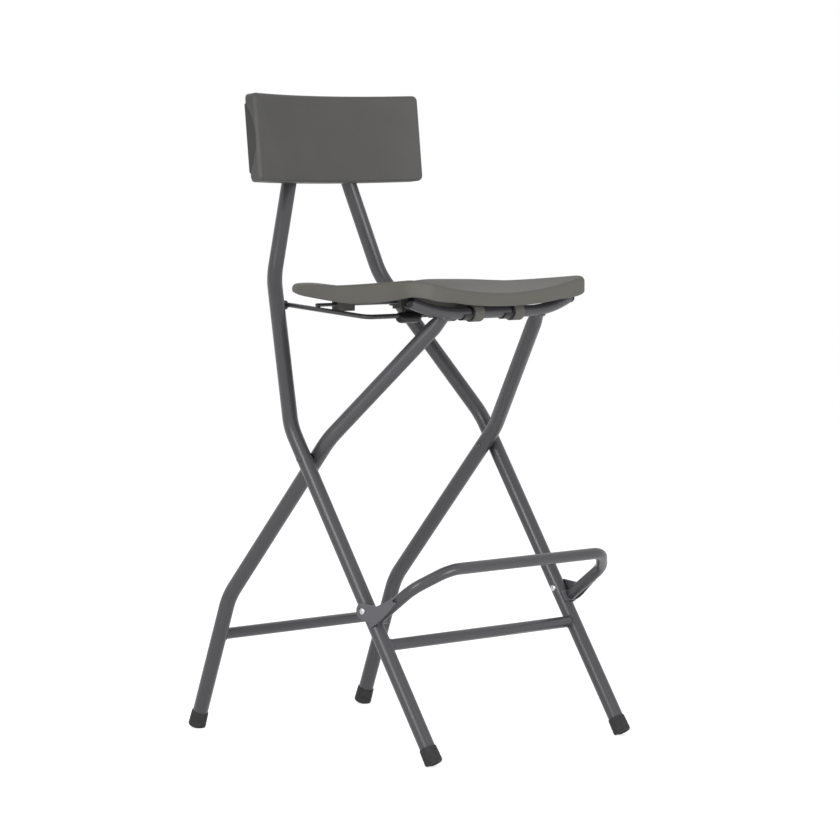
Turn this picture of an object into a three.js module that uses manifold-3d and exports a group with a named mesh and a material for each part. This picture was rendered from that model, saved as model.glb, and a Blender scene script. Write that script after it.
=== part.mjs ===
// Folding bar stool: two crossed tube frames, a moulded seat on a curved bar, a wire support that
// folds up behind the seat, a moulded backrest and a fold-up footrest bar.
// Millimetres. +Z up, the stool faces -Y, +X is the sitter's left. The origin is on the floor,
// midway between the feet.
import * as THREE from 'three';
import { mergeVertices } from 'three/addons/utils/BufferGeometryUtils.js';
import Module from 'manifold-3d';

const wasm = await Module();
wasm.setup();

// Stock and clearances
const tubeDiameter = 25.6;
const tubeWall = 1.5;
const barDiameter = 19;
const barWall = 1.5;
const wireDiameter = 8;
const crossWireDiameter = 6;
const fitGap = 0.3;
const cutOverrun = 20;

// Back frame: front feet, legs, shoulders and uprights
const legHalfSpread = 228.8;
const frontFloorY = -295.9;
const kneeY = 29.4;
const kneeZ = 523.3;
const shoulderX = 126.8;
const shoulderY = 174.2;
const shoulderZ = 763.3;
const uprightTopX = 34.8;
const uprightTopY = 207.5;
const uprightTopZ = 1025;
const frameBendRadius = 110;
const frontCrossbarZ = 183.4;

// Seat frame: rear feet, legs and the arms that carry the seat bar
const frameSideGap = 3;
const rearFloorY = 290.5;
const rearKneeY = 208.7;
const rearKneeZ = 229.2;
const hipY = -28.4;
const hipZ = 505.2;
const armTopX = 115.1;
const armTopY = -199.6;
const armTopZ = 702.1;
const rearCrossbarZ = 163.6;

// Seat bar
const seatBarY = -210;
const seatBarZ = 711.8;
const seatBarHalfLength = 190.4;
const seatBarStraight = 84;
const seatBarTipRise = 21.5;
const seatBarTipBack = 9.4;
const plugDome = 5;
const plugDepth = 14;
const plugWall = 1.2;

// Rubber feet
const capWall = 1.7;
const capHeight = 27;
const capFloor = 6;
const capChamfer = 1.5;
const capTaper = 0.6;
const capFlat = 1.2;

// Rivets and washers
const rivetRadius = 4;
const rivetHeadRadius = 5.4;
const rivetHeadHeight = 2.6;
const washerRadius = 10;

// Footrest
const footrestPivotZ = 237.6;
const footrestArmDrop = 22;
const footrestArmSetback = 1.5;
const footrestBendDrop = 15.5;
const footrestBendReach = 104;
const footrestArmInset = 2.5;
const footrestCornerInset = 46;
const footrestCornerForward = 39;
const footrestCornerRise = 30.3;
const footrestBendRadius = 50;
const bracketSheet = 2.5;
const bracketEarRadius = 13.5;
const bracketShoulderDrop = 8;
const bracketShoulderReach = 32;
const bracketNoseDrop = 13;
const bracketNoseReach = 68;
const bracketNoseDepth = 10;
const bracketCorner = 3;
const bracketToeReach = 27;
const bracketWebTop = 12.5;
const bracketWebInset = 26;

// Wire support under the seat
const wirePivotZ = 718;
const wireArmX = 119;
const wireFrontX = 143;
const wireFrontY = -60;
const wireFrontZ = 703.5;
const wireStubDepth = 8;
const wireElbowRadius = 6.5;
const wireBendRadius = 14;
const crossWireY = 68;
const bushWall = 1.8;
const bushCollarWall = 1.6;
const bushCollar = 1.5;
const bushDepth = 5;

// Black bearings on the wire and the posts behind them
const bearingX = 45;
const bearingWidth = 50;
const bearingWall = 1.6;
const bearingBulbRadius = 8.3;
const bearingBulbDrop = 4;
const postX = 30;
const postWidth = 24;
const postDepth = 7;
const postDrop = 2;

// Seat shell
const seatHalfWidth = 210;
const seatFrontY = -241;
const seatRearY = 85;
const seatFrontBow = 5;
const seatFrontCorner = 46;
const seatRearCorner = 60;
const seatCentreZ = 741;
const seatFrontZ = 744.5;
const seatBackZ = 751.5;
const seatSideFrontZ = 771;
const seatSideBackZ = 760.5;
const seatPlate = 4.6;
const seatSkirtWall = 7;
const seatEdgeRadius = 8;
const seatLipZ = 722.8;
const seatSideLipZ = 727.5;
const seatFrontCornerLipZ = 744.5;
const seatRearCornerLipZ = 743;
const seatRearLipZ = 731;
const seatRearDipHalf = 50;
const seatRearDipRise = 95;

// Clips on the seat bar, hooks over the cross wire
const clipX = 48.3;
const clipWidth = 22;
const clipWall = 2.5;
const linerWall = 1.8;
const linerLength = 44;
const linerCollar = 4;
const clipFlangeFront = 14;
const clipFlangeBack = 26;
const clipFlange = 3.5;
const clipNeck = 8;
const hookX = 72.5;
const hookWidth = 30;
const hookRear = 5;
const hookFront = 16;
const hookFlare = 7;
const hookDrop = 11;
const hookFlange = 3.5;
const hookFlangeFront = 34;

// Screws
const screwHeadRadius = 4.2;
const screwHeadHeight = 2.4;
const screwShankRadius = 2.2;

// Backrest
const backrestHalfWidth = 195.5;
const backrestHeight = 147;
const backrestCentreZ = 995.3;
const backrestFaceY = 170;
const backrestLeanDegrees = 5.8;
const backrestCurveRadius = 640;
const backrestCorner = 9.5;
const backrestWall = 4;
const backrestEdgeRadius = 4;
const backrestSkirt = 25.5;
const backrestScoop = 20.5;
const backrestScoopHalf = 58;
const coverWall = 3;
const coverEndDepth = 28.5;
const coverFlatHalf = 84;
const coverFrontGap = 1;
const coverEdgeRadius = 3;
const coverFlangeInset = 2;
const coverPlateauHalf = 56.5;
const coverPlateauSlope = 6;
const backrestScrewInset = 44;

// Facets
const tubeSides = 16;
const boreSides = 10;
const barSides = 14;
const wireSides = 8;
const latheSides = 20;
const smallSides = 12;
const bendSteps = 4;

const tubeRadius = tubeDiameter / 2;
const barRadius = barDiameter / 2;
const wireRadius = wireDiameter / 2;
const crossWireRadius = crossWireDiameter / 2;

const steelPaint = { color: 0x58565b, roughness: 0.55, metalness: 0.35 };
const shellPlastic = { color: 0x5f5d59, roughness: 0.7, metalness: 0 };
const coverPlastic = { color: 0x4a4948, roughness: 0.75, metalness: 0 };
const blackRubber = { color: 0x1f1f20, roughness: 0.85, metalness: 0 };
const blackPlastic = { color: 0x262628, roughness: 0.6, metalness: 0 };
const brightSteel = { color: 0xb9bbbe, roughness: 0.3, metalness: 0.9 };

const stool = new THREE.Group();

function addPiece(name, geometry, look) {
  const mesh = new THREE.Mesh(geometry, new THREE.MeshStandardMaterial(look));
  mesh.name = name;
  stool.add(mesh);
  return mesh;
}

// Both sides of the stool: -1 is the sitter's right, +1 the sitter's left
const sides = [
  { sign: -1, name: 'right' },
  { sign: 1, name: 'left' },
];

// Smallest radius of a bore that is faceted with this many sides
function acrossFlats(radius, count) {
  return radius * Math.cos(Math.PI / count);
}

// A path given section by section, so that a swept tube has sections only where it bends
class StationCurve extends THREE.Curve {
  constructor(stations) {
    super();
    this.stations = stations;
  }

  station(u) {
    return this.stations[Math.round(u * (this.stations.length - 1))];
  }

  getPoint(t, target = new THREE.Vector3()) {
    return target.copy(this.station(t).point);
  }

  getPointAt(u, target = new THREE.Vector3()) {
    return target.copy(this.station(u).point);
  }

  getTangentAt(u, target = new THREE.Vector3()) {
    return target.copy(this.station(u).tangent);
  }
}

// Straight runs between corner points, each corner rounded to an arc. The bend radius is one
// value for all corners, or a list with one for each.
function bentPath(corners, bendRadii, steps = bendSteps) {
  const directions = [];
  for (let i = 1; i < corners.length; i += 1) {
    directions.push(corners[i].clone().sub(corners[i - 1]).normalize());
  }
  const stations = [{ point: corners[0].clone(), tangent: directions[0] }];
  for (let i = 1; i < corners.length - 1; i += 1) {
    const arriving = directions[i - 1];
    const leaving = directions[i];
    const turn = arriving.angleTo(leaving);
    const bendRadius = Array.isArray(bendRadii) ? bendRadii[i - 1] : bendRadii;
    const setback = bendRadius * Math.tan(turn / 2);
    const start = corners[i].clone().addScaledVector(arriving, -setback);
    const inward = leaving.clone().addScaledVector(arriving, -arriving.dot(leaving)).normalize();
    for (let k = 0; k <= steps; k += 1) {
      const angle = (turn * k) / steps;
      const point = start.clone();
      point.addScaledVector(arriving, bendRadius * Math.sin(angle));
      point.addScaledVector(inward, bendRadius * (1 - Math.cos(angle)));
      const tangent = arriving.clone().multiplyScalar(Math.cos(angle));
      tangent.addScaledVector(inward, Math.sin(angle));
      stations.push({ point, tangent: tangent.normalize() });
    }
  }
  const last = corners.length - 1;
  stations.push({ point: corners[last].clone(), tangent: directions[last - 1] });
  return new StationCurve(stations);
}

function circlePoints(radius, count) {
  const points = [];
  for (let i = 0; i < count; i += 1) {
    const angle = (2 * Math.PI * i) / count;
    points.push(new THREE.Vector2(radius * Math.cos(angle), radius * Math.sin(angle)));
  }
  return points;
}

function sweep(path, outerRadius, count, boreRadius = 0) {
  const section = new THREE.Shape(circlePoints(outerRadius, count));
  if (boreRadius > 0) {
    section.holes.push(new THREE.Path(circlePoints(boreRadius, boreSides)));
  }
  const steps = path.stations.length - 1;
  return new THREE.ExtrudeGeometry(section, { steps, extrudePath: path, bevelEnabled: false });
}

function toSolid(geometry) {
  const bare = geometry.clone();
  bare.deleteAttribute('normal');
  bare.deleteAttribute('uv');
  const merged = mergeVertices(bare);
  return new wasm.Manifold(new wasm.Mesh({
    numProp: 3,
    vertProperties: merged.attributes.position.array,
    triVerts: merged.index.array,
  }));
}

function toGeometry(solid) {
  const mesh = solid.getMesh();
  const geometry = new THREE.BufferGeometry();
  geometry.setAttribute('position', new THREE.BufferAttribute(mesh.vertProperties.slice(), 3));
  geometry.setIndex(new THREE.BufferAttribute(mesh.triVerts.slice(), 1));
  geometry.computeVertexNormals();
  return geometry;
}

function cut(geometry, cutters) {
  let solid = toSolid(geometry);
  for (const cutter of cutters) {
    solid = solid.subtract(toSolid(cutter));
  }
  return toGeometry(solid);
}

function join(geometries) {
  let solid = toSolid(geometries[0]);
  for (const next of geometries.slice(1)) {
    solid = solid.add(toSolid(next));
  }
  return toGeometry(solid);
}

// A round bar from one point to another
function rod(from, to, radius, count) {
  const path = bentPath([from, to], 0);
  return sweep(path, radius, count);
}

// A rod along X through (y, z), from x1 to x2
function rodX(x1, x2, y, z, radius, count = tubeSides) {
  return rod(new THREE.Vector3(x1, y, z), new THREE.Vector3(x2, y, z), radius, count);
}

function boxBetween(low, high) {
  const size = high.clone().sub(low);
  const box = new THREE.BoxGeometry(size.x, size.y, size.z);
  box.translate(low.x + size.x / 2, low.y + size.y / 2, low.z + size.z / 2);
  return box;
}

// A side-view outline of (y, z) points, as thick as x1 to x2
function plateX(outline, x1, x2) {
  const shape = new THREE.Shape(outline);
  const plate = new THREE.ExtrudeGeometry(shape, { depth: x2 - x1, bevelEnabled: false });
  plate.applyMatrix4(new THREE.Matrix4().set(
    0, 0, 1, x1,
    1, 0, 0, 0,
    0, 1, 0, 0,
    0, 0, 0, 1,
  ));
  return plate;
}

function pointAtHeight(from, to, z) {
  return from.clone().lerp(to, (z - from.z) / (to.z - from.z));
}

// A turned piece with its axis along +X, standing at x = 0
function latheX(profile, count = latheSides) {
  const geometry = new THREE.LatheGeometry(profile.map(([r, h]) => new THREE.Vector2(r, h)), count);
  geometry.rotateZ(-Math.PI / 2);
  return geometry;
}

// A tilted sole stands on its lower edge, which is cut flat where it meets the floor
const capRadius = tubeRadius + fitGap + capWall;
const soleRadius = capRadius - capChamfer;

function footOnFloor(x, floorY, knee) {
  const floorPoint = new THREE.Vector3(x, floorY, 0);
  const direction = knee.clone().sub(floorPoint).normalize();
  const lift = (soleRadius * Math.abs(direction.y) - capFlat) / direction.z;
  return { sole: floorPoint.addScaledVector(direction, lift), direction };
}

function footCap() {
  const bore = tubeRadius + fitGap;
  const mouth = capRadius - capTaper;
  const profile = [
    [0, 0],
    [soleRadius, 0],
    [capRadius, capChamfer],
    [mouth, capHeight],
    [bore, capHeight],
    [bore, capFloor],
    [0, capFloor],
  ];
  return new THREE.LatheGeometry(profile.map(([r, h]) => new THREE.Vector2(r, h)), latheSides);
}

function standingCap(foot) {
  const turn = new THREE.Quaternion();
  turn.setFromUnitVectors(new THREE.Vector3(0, 1, 0), foot.direction);
  const cap = footCap();
  cap.applyQuaternion(turn);
  cap.translate(foot.sole.x, foot.sole.y, foot.sole.z);
  const reach = new THREE.Vector3(capHeight, capHeight, 0);
  const low = foot.sole.clone().sub(reach).setZ(-cutOverrun);
  const high = foot.sole.clone().add(reach).setZ(0);
  return cut(cap, [boxBetween(low, high)]);
}

// The lines that both frames follow, seen on one side of the stool
const seatLegX = legHalfSpread - tubeDiameter - frameSideGap;

function backFrameLine(sign) {
  const knee = new THREE.Vector3(sign * legHalfSpread, kneeY, kneeZ);
  const shoulder = new THREE.Vector3(sign * shoulderX, shoulderY, shoulderZ);
  const top = new THREE.Vector3(sign * uprightTopX, uprightTopY, uprightTopZ);
  const foot = footOnFloor(sign * legHalfSpread, frontFloorY, knee);
  const end = foot.sole.clone().addScaledVector(foot.direction, capFloor + fitGap);
  return { foot, end, knee, shoulder, top };
}

function seatFrameLine(sign) {
  const knee = new THREE.Vector3(sign * seatLegX, rearKneeY, rearKneeZ);
  const hip = new THREE.Vector3(sign * seatLegX, hipY, hipZ);
  const top = new THREE.Vector3(sign * armTopX, armTopY, armTopZ);
  const foot = footOnFloor(sign * seatLegX, rearFloorY, knee);
  const end = foot.sole.clone().addScaledVector(foot.direction, capFloor + fitGap);
  return { foot, end, knee, hip, top };
}

const backLine = backFrameLine(1);
const seatLine = seatFrameLine(1);

// The crossing pivot lies where the two legs' axes cross in the side view
function crossingPoint() {
  const a = backLine.foot.sole;
  const da = backLine.knee.clone().sub(a);
  const b = seatLine.knee;
  const db = seatLine.hip.clone().sub(b);
  const share = ((b.y - a.y) * db.z - (b.z - a.z) * db.y) / (da.y * db.z - da.z * db.y);
  return a.clone().addScaledVector(da, share);
}

const crossing = crossingPoint();
const footrestPivot = pointAtHeight(backLine.foot.sole, backLine.knee, footrestPivotZ);
const wirePivot = pointAtHeight(backLine.knee, backLine.shoulder, wirePivotZ);
const frontCrossbarAt = pointAtHeight(backLine.foot.sole, backLine.knee, frontCrossbarZ);
const rearCrossbarAt = pointAtHeight(seatLine.foot.sole, seatLine.knee, rearCrossbarZ);
const uprightDirection = backLine.top.clone().sub(backLine.shoulder).normalize();
const uprightLean = Math.atan2(uprightDirection.y, uprightDirection.z);
const backrestLean = THREE.MathUtils.degToRad(backrestLeanDegrees);
const uprightAtBackrest = pointAtHeight(backLine.shoulder, backLine.top, backrestCentreZ);
const leanDrift = (backrestHeight / 2) * Math.tan(Math.abs(uprightLean - backrestLean));
const uprightSetback = (uprightAtBackrest.y - backrestFaceY) * Math.cos(backrestLean) + leanDrift;

// A bush lies along X in the slanted tube; its collar reaches over the tube's slanted side
const slantDirection = backLine.shoulder.clone().sub(backLine.knee).normalize();
const slant = Math.abs(slantDirection.x) / Math.sqrt(1 - slantDirection.x ** 2);
const uprightHalfWidthX = tubeRadius / Math.sqrt(1 - slantDirection.x ** 2);
const bushFace = wirePivot.x - uprightHalfWidthX;
const bushBore = (wireRadius + fitGap) / Math.cos(Math.PI / smallSides);
const bushSleeve = bushBore + bushWall;
const bushCollarRadius = bushSleeve + bushCollarWall;
const bushInner = bushFace - slant * bushCollarRadius - bushCollar;

function backFrameTube(sign) {
  const line = backFrameLine(sign);
  const path = bentPath([line.end, line.knee, line.shoulder, line.top], frameBendRadius);
  const tube = sweep(path, tubeRadius, tubeSides, tubeRadius - tubeWall);
  const reach = tubeRadius + cutOverrun;
  const hole = rivetRadius + fitGap;
  const x = sign * legHalfSpread;
  const cutters = [
    rodX(x - reach, x + reach, crossing.y, crossing.z, hole, boreSides),
    rodX(x - reach, x + reach, footrestPivot.y, footrestPivot.z, hole, boreSides),
  ];
  const bushHole = (bushSleeve + fitGap) / Math.cos(Math.PI / smallSides);
  const inner = sign > 0 ? wirePivot.x - reach : -wirePivot.x;
  const outer = sign > 0 ? wirePivot.x : -wirePivot.x + reach;
  cutters.push(rodX(inner, outer, wirePivot.y, wirePivot.z, bushHole, smallSides));
  for (const spot of backrestScrewSpots(sign)) {
    cutters.push(screwHole(spot));
  }
  return cut(tube, cutters);
}

// The seat frame's tube is closed at its top, where the seat bar lies in a notch across it
function seatFrameTube(sign) {
  const line = seatFrameLine(sign);
  const outer = bentPath([line.end, line.knee, line.hip, line.top], frameBendRadius);
  const solid = sweep(outer, tubeRadius, tubeSides);
  const below = line.foot.direction.clone().multiplyScalar(-cutOverrun);
  const away = line.hip.clone().sub(line.top).normalize();
  const boreEnd = line.top.clone().addScaledVector(away, tubeDiameter);
  const boreStart = line.end.clone().add(below);
  const bore = bentPath([boreStart, line.knee, line.hip, boreEnd], frameBendRadius);
  const reach = tubeRadius + cutOverrun;
  const x = sign * seatLegX;
  return cut(solid, [
    sweep(bore, tubeRadius - tubeWall, boreSides),
    rodX(x - reach, x + reach, crossing.y, crossing.z, rivetRadius + fitGap, boreSides),
    seatBarSweep(barRadius + fitGap, tubeSides),
  ]);
}

// A crossbar's ends are coped to the legs that it is welded to
function crossbar(at, halfSpread, legFrom, legTo) {
  const left = new THREE.Vector3(halfSpread, at.y, at.z);
  const right = new THREE.Vector3(-halfSpread, at.y, at.z);
  const bar = sweep(bentPath([right, left], 0), barRadius, barSides, barRadius - barWall);
  const cutters = [];
  for (const { sign } of sides) {
    const from = legFrom.clone().setX(sign * halfSpread);
    const to = legTo.clone().setX(sign * halfSpread);
    cutters.push(rod(from, to, tubeRadius + fitGap, tubeSides));
  }
  return cut(bar, cutters);
}

// The seat bar is straight in the middle and curves up and back towards its tips
function seatBarPoint(x) {
  const bendSpan = seatBarHalfLength - seatBarStraight;
  const share = Math.max(0, (Math.abs(x) - seatBarStraight) / bendSpan);
  const back = seatBarTipBack * share ** 2;
  const rise = seatBarTipRise * share ** 2;
  return new THREE.Vector3(x, seatBarY + back, seatBarZ + rise);
}

function seatBarPath() {
  const bendShares = [0, 0.3, 0.55, 0.8, 1];
  const half = bendShares.map((share) => {
    return seatBarStraight + (seatBarHalfLength - seatBarStraight) * share;
  });
  const points = [...half.slice().reverse().map((x) => -x), ...half].map(seatBarPoint);
  const last = points.length - 1;
  const stations = points.map((point, i) => {
    const before = points[Math.max(i - 1, 0)];
    const after = points[Math.min(i + 1, last)];
    return { point, tangent: after.clone().sub(before).normalize() };
  });
  return new StationCurve(stations);
}

function seatBarSweep(radius, count, boreRadius = 0) {
  return sweep(seatBarPath(), radius, count, boreRadius);
}

// A plug closes the bar's end on the +X side
function seatBarPlug(sign) {
  const stem = acrossFlats(barRadius - barWall, boreSides) - fitGap;
  const plug = latheX([
    [0, -plugDepth],
    [stem - plugWall, -plugDepth],
    [stem, -plugDepth + plugWall],
    [stem, fitGap],
    [barRadius, fitGap],
    [barRadius, fitGap + plugWall],
    [barRadius * 0.8, plugDome * 0.75],
    [barRadius * 0.45, plugDome],
    [0, plugDome * 1.06],
  ], barSides);
  const { point, tangent } = seatBarPath().stations.at(-1);
  const turn = new THREE.Quaternion().setFromUnitVectors(new THREE.Vector3(1, 0, 0), tangent);
  plug.applyQuaternion(turn);
  plug.translate(point.x, point.y, point.z);
  return sign > 0 ? plug : mirrored(plug);
}

// A rivet along X with a domed head at each end of its grip
function rivet(grip) {
  const dome = rivetHeadHeight;
  const profile = [
    [0, -dome],
    [rivetHeadRadius * 0.6, -dome * 0.8],
    [rivetHeadRadius, 0],
    [rivetRadius, 0],
    [rivetRadius, grip],
    [rivetHeadRadius, grip],
    [rivetHeadRadius * 0.6, grip + dome * 0.8],
    [0, grip + dome],
  ];
  return latheX(profile, smallSides);
}

function washer(thickness) {
  const hole = (rivetRadius + fitGap) / Math.cos(Math.PI / barSides);
  const profile = [
    [hole, 0],
    [washerRadius, 0],
    [washerRadius, thickness],
    [hole, thickness],
    [hole, 0],
  ];
  return latheX(profile, barSides);
}

// The crossing rivets hold the two frames together through both tubes
function crossingRivet(sign) {
  const inner = seatLegX - tubeRadius - fitGap;
  const outer = legHalfSpread + tubeRadius + fitGap;
  const geometry = rivet(outer - inner);
  geometry.translate(sign > 0 ? inner : -outer, crossing.y, crossing.z);
  return geometry;
}

function crossingWasher(sign) {
  const inner = seatLegX + tubeRadius + fitGap;
  const thickness = frameSideGap - 2 * fitGap;
  const geometry = washer(thickness);
  geometry.translate(sign > 0 ? inner : -inner - thickness, crossing.y, crossing.z);
  return geometry;
}

// The footrest's brackets lie on the outer sides of the front legs
const bracketInnerX = legHalfSpread + tubeRadius + fitGap;
const bracketOuterX = bracketInnerX + bracketSheet;

function footrestRivet(sign) {
  const inner = legHalfSpread - tubeRadius - fitGap;
  const outer = bracketOuterX + fitGap;
  const geometry = rivet(outer - inner);
  geometry.translate(sign > 0 ? inner : -outer, footrestPivot.y, footrestPivot.z);
  return geometry;
}

// Side-view directions at the front leg: along it, and square to it towards the front
const legUp = new THREE.Vector2(backLine.foot.direction.y, backLine.foot.direction.z).normalize();
const legFront = new THREE.Vector2(-legUp.y, legUp.x);

function nearLeg(along, ahead) {
  const y = footrestPivot.y + along * legUp.x + ahead * legFront.x;
  const z = footrestPivot.z + along * legUp.y + ahead * legFront.y;
  return new THREE.Vector2(y, z);
}

// The footrest's arms start ahead of the bracket's web, nearly square to the leg. Each bends
// inwards and up, and again into the crosspiece.
const webFace = tubeRadius + fitGap + bracketSheet;
const footrestArmX = bracketInnerX - fitGap - barRadius;

function footrestBar() {
  const start = nearLeg(-footrestArmDrop, webFace + footrestArmSetback);
  const bend = nearLeg(-footrestBendDrop, footrestBendReach);
  const bendX = footrestArmX - footrestArmInset;
  const half = [
    new THREE.Vector3(footrestArmX, start.x, start.y),
    new THREE.Vector3(bendX, bend.x, bend.y),
    new THREE.Vector3(
      bendX - footrestCornerInset,
      bend.x - footrestCornerForward,
      bend.y + footrestCornerRise,
    ),
  ];
  const otherHalf = half.map((corner) => corner.clone().setX(-corner.x));
  const path = bentPath([...half, ...otherHalf.reverse()], footrestBendRadius);
  return sweep(path, barRadius, barSides, barRadius - barWall);
}

// The direction from which a tangent leaves a circle round the origin for a point outside it
function tangentAngle(point, radius, side) {
  return Math.atan2(point.y, point.x) + side * Math.acos(radius / point.length());
}

// The bracket's side outline, as distances along the leg and ahead of it from the pivot: a round
// ear, an upper edge down to the arm, a nose along the arm, and a lower edge back to the ear
function bracketOutline() {
  const low = -footrestArmDrop - barRadius;
  const noseLow = -bracketNoseDrop - bracketNoseDepth;
  const shoulder = new THREE.Vector2(-bracketShoulderDrop, bracketShoulderReach);
  const heel = new THREE.Vector2(low, webFace);
  const outline = [
    shoulder,
    new THREE.Vector2(-bracketNoseDrop, bracketNoseReach),
    new THREE.Vector2(noseLow + bracketCorner, bracketNoseReach),
    new THREE.Vector2(noseLow, bracketNoseReach - bracketCorner),
    new THREE.Vector2(low, bracketToeReach),
    heel,
  ];
  const from = tangentAngle(heel, bracketEarRadius, 1);
  const to = tangentAngle(shoulder, bracketEarRadius, -1);
  const turn = (to - from + 2 * Math.PI) % (2 * Math.PI);
  for (let i = 0; i <= smallSides; i += 1) {
    const angle = from + (turn * i) / smallSides;
    outline.push(new THREE.Vector2(Math.cos(angle), Math.sin(angle)).multiplyScalar(bracketEarRadius));
  }
  return outline;
}

// A bracket is a sheet plate outside the leg, with a web that bears on the leg's front
function footrestBracket(sign) {
  const onLeg = (points) => points.map(({ x, y }) => nearLeg(x, y));
  const plate = plateX(onLeg(bracketOutline()), bracketInnerX, bracketOuterX);
  const low = -footrestArmDrop - barRadius;
  const webOutline = [
    new THREE.Vector2(low, webFace),
    new THREE.Vector2(low, webFace - bracketSheet),
    new THREE.Vector2(-bracketWebTop, webFace - bracketSheet),
    new THREE.Vector2(-bracketWebTop, webFace),
  ];
  const web = plateX(
    onLeg(webOutline),
    bracketInnerX - bracketWebInset,
    bracketOuterX - bracketSheet / 2,
  );
  const pinHole = rodX(
    bracketInnerX - cutOverrun,
    bracketOuterX + cutOverrun,
    footrestPivot.y,
    footrestPivot.z,
    rivetRadius + fitGap,
    boreSides,
  );
  const bracket = cut(join([plate, web]), [pinHole]);
  return sign > 0 ? bracket : mirrored(bracket);
}

// The same piece for the other side of the stool
function mirrored(geometry) {
  const copy = geometry.index ? geometry.clone() : mergeVertices(geometry);
  copy.scale(-1, 1, 1);
  const index = copy.index.array;
  for (let i = 0; i < index.length; i += 3) {
    const held = index[i];
    index[i] = index[i + 1];
    index[i + 1] = held;
  }
  copy.computeVertexNormals();
  return copy;
}

// The wire support: stubs in the uprights' bushes, arms running forward, a front crosspiece
function wireSupport() {
  const corners = [];
  for (const sign of [-1, 1]) {
    const stub = new THREE.Vector3(sign * (bushFace + wireStubDepth), wirePivot.y, wirePivot.z);
    const elbow = new THREE.Vector3(sign * wireArmX, wirePivot.y, wirePivot.z);
    const front = new THREE.Vector3(sign * wireFrontX, wireFrontY, wireFrontZ);
    corners.push(...(sign < 0 ? [stub, elbow, front] : [front, elbow, stub]));
  }
  const bends = [wireElbowRadius, wireBendRadius, wireBendRadius, wireElbowRadius];
  return sweep(bentPath(corners, bends), wireRadius, wireSides);
}

function onWireArm(y) {
  const share = (wirePivot.y - y) / (wirePivot.y - wireFrontY);
  return new THREE.Vector3(
    wireArmX + (wireFrontX - wireArmX) * share,
    y,
    wirePivot.z + (wireFrontZ - wirePivot.z) * share,
  );
}

// The cross wire lies on top of the two arms, where it is welded
const crossWireAt = onWireArm(crossWireY);
const crossWireZ = crossWireAt.z + wireRadius + crossWireRadius + fitGap;
const crossWireHalf = crossWireAt.x + wireRadius / 2;

// A ring along X, from x1 to x2, round the wire's pivot
function pivotRing(inner, outer, x1, x2) {
  const profile = [[inner, x1], [outer, x1], [outer, x2], [inner, x2], [inner, x1]];
  const ring = latheX(profile, smallSides);
  ring.translate(0, wirePivot.y, wirePivot.z);
  return ring;
}

// A bush is a sleeve in the upright, with a collar that is cut to the tube's slanted side
function wireBush(sign) {
  const seat = rod(backLine.knee, backLine.shoulder, tubeRadius + fitGap, 2 * tubeSides);
  const collar = cut(pivotRing(bushBore, bushCollarRadius, bushInner, wirePivot.x), [seat]);
  const sleeve = pivotRing(bushBore, bushSleeve, bushInner, bushFace + bushDepth);
  const bush = join([collar, sleeve]);
  return sign > 0 ? bush : mirrored(bush);
}

// A bearing is a drop-shaped block round the wire's front crosspiece
function wireBearing(x) {
  const top = wireRadius + fitGap + bearingWall;
  const x1 = x - bearingWidth / 2;
  const x2 = x + bearingWidth / 2;
  const upper = rodX(x1, x2, wireFrontY, wireFrontZ, top, tubeSides);
  const bulb = rodX(x1, x2, wireFrontY, wireFrontZ - bearingBulbDrop, bearingBulbRadius, tubeSides);
  const hole = rodX(
    x1 - cutOverrun,
    x2 + cutOverrun,
    wireFrontY,
    wireFrontZ,
    wireRadius + fitGap,
    wireSides + 2,
  );
  return cut(join([upper, bulb]), [hole]);
}

// Seat surface: dished across its width and depth. Its sides rise towards the front, and its
// rear edge dips in the middle.
const seatMidY = (seatFrontY + seatRearY) / 2;
const seatHalfDepth = (seatRearY - seatFrontY) / 2;
const seatLevelShare = 0.2;
const seatSideRiseShare = 1.2;
const seatLowShare = -0.05;
const seatFrontLipShare = 0.85;

function smoothStep(share) {
  const held = Math.min(Math.max(share, 0), 1);
  return held ** 2 * (3 - 2 * held);
}

function seatTopZ(x, y) {
  const across = Math.min(Math.abs(x) / seatHalfWidth, 1);
  const along = (y - seatMidY) / seatHalfDepth;
  const ahead = Math.max(-along, 0);
  const behind = Math.max(along, 0) ** 2;
  const middle = seatCentreZ
    + (seatFrontZ - seatCentreZ) * ahead ** 2
    + (seatBackZ - seatCentreZ) * behind;
  const risen = Math.max((seatLevelShare - along) / (1 + seatLevelShare), 0) ** seatSideRiseShare;
  const side = seatSideBackZ + (seatSideFrontZ - seatSideBackZ) * risen;
  const dip = smoothStep((Math.abs(x) - seatRearDipHalf) / seatRearDipRise);
  const sideShare = across ** 2 * (1 - behind) + dip * behind;
  return middle + (side - middle) * sideShare;
}

// Lower edge of the seat's skirt: lowest at the front and along the sides, raised at the corners
function seatLipAt(x, y) {
  const across = Math.min(Math.abs(x) / seatHalfWidth, 1);
  const along = (y - seatMidY) / seatHalfDepth;
  const fromLow = along - seatLowShare;
  const rise = fromLow < 0
    ? (seatFrontCornerLipZ - seatSideLipZ) * (fromLow / (1 + seatLowShare)) ** 2
    : (seatRearCornerLipZ - seatSideLipZ) * (fromLow / (1 - seatLowShare)) ** 2;
  const frontRise = (seatFrontCornerLipZ - seatLipZ) * seatFrontLipShare;
  const front = seatLipZ + frontRise * across ** 2;
  const rear = seatRearLipZ + (seatRearCornerLipZ - seatRearLipZ) * across ** 2;
  const end = along < 0 ? front : rear;
  const sideShare = across ** 6;
  return end * (1 - sideShare) + (seatSideLipZ + rise) * sideShare;
}

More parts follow.
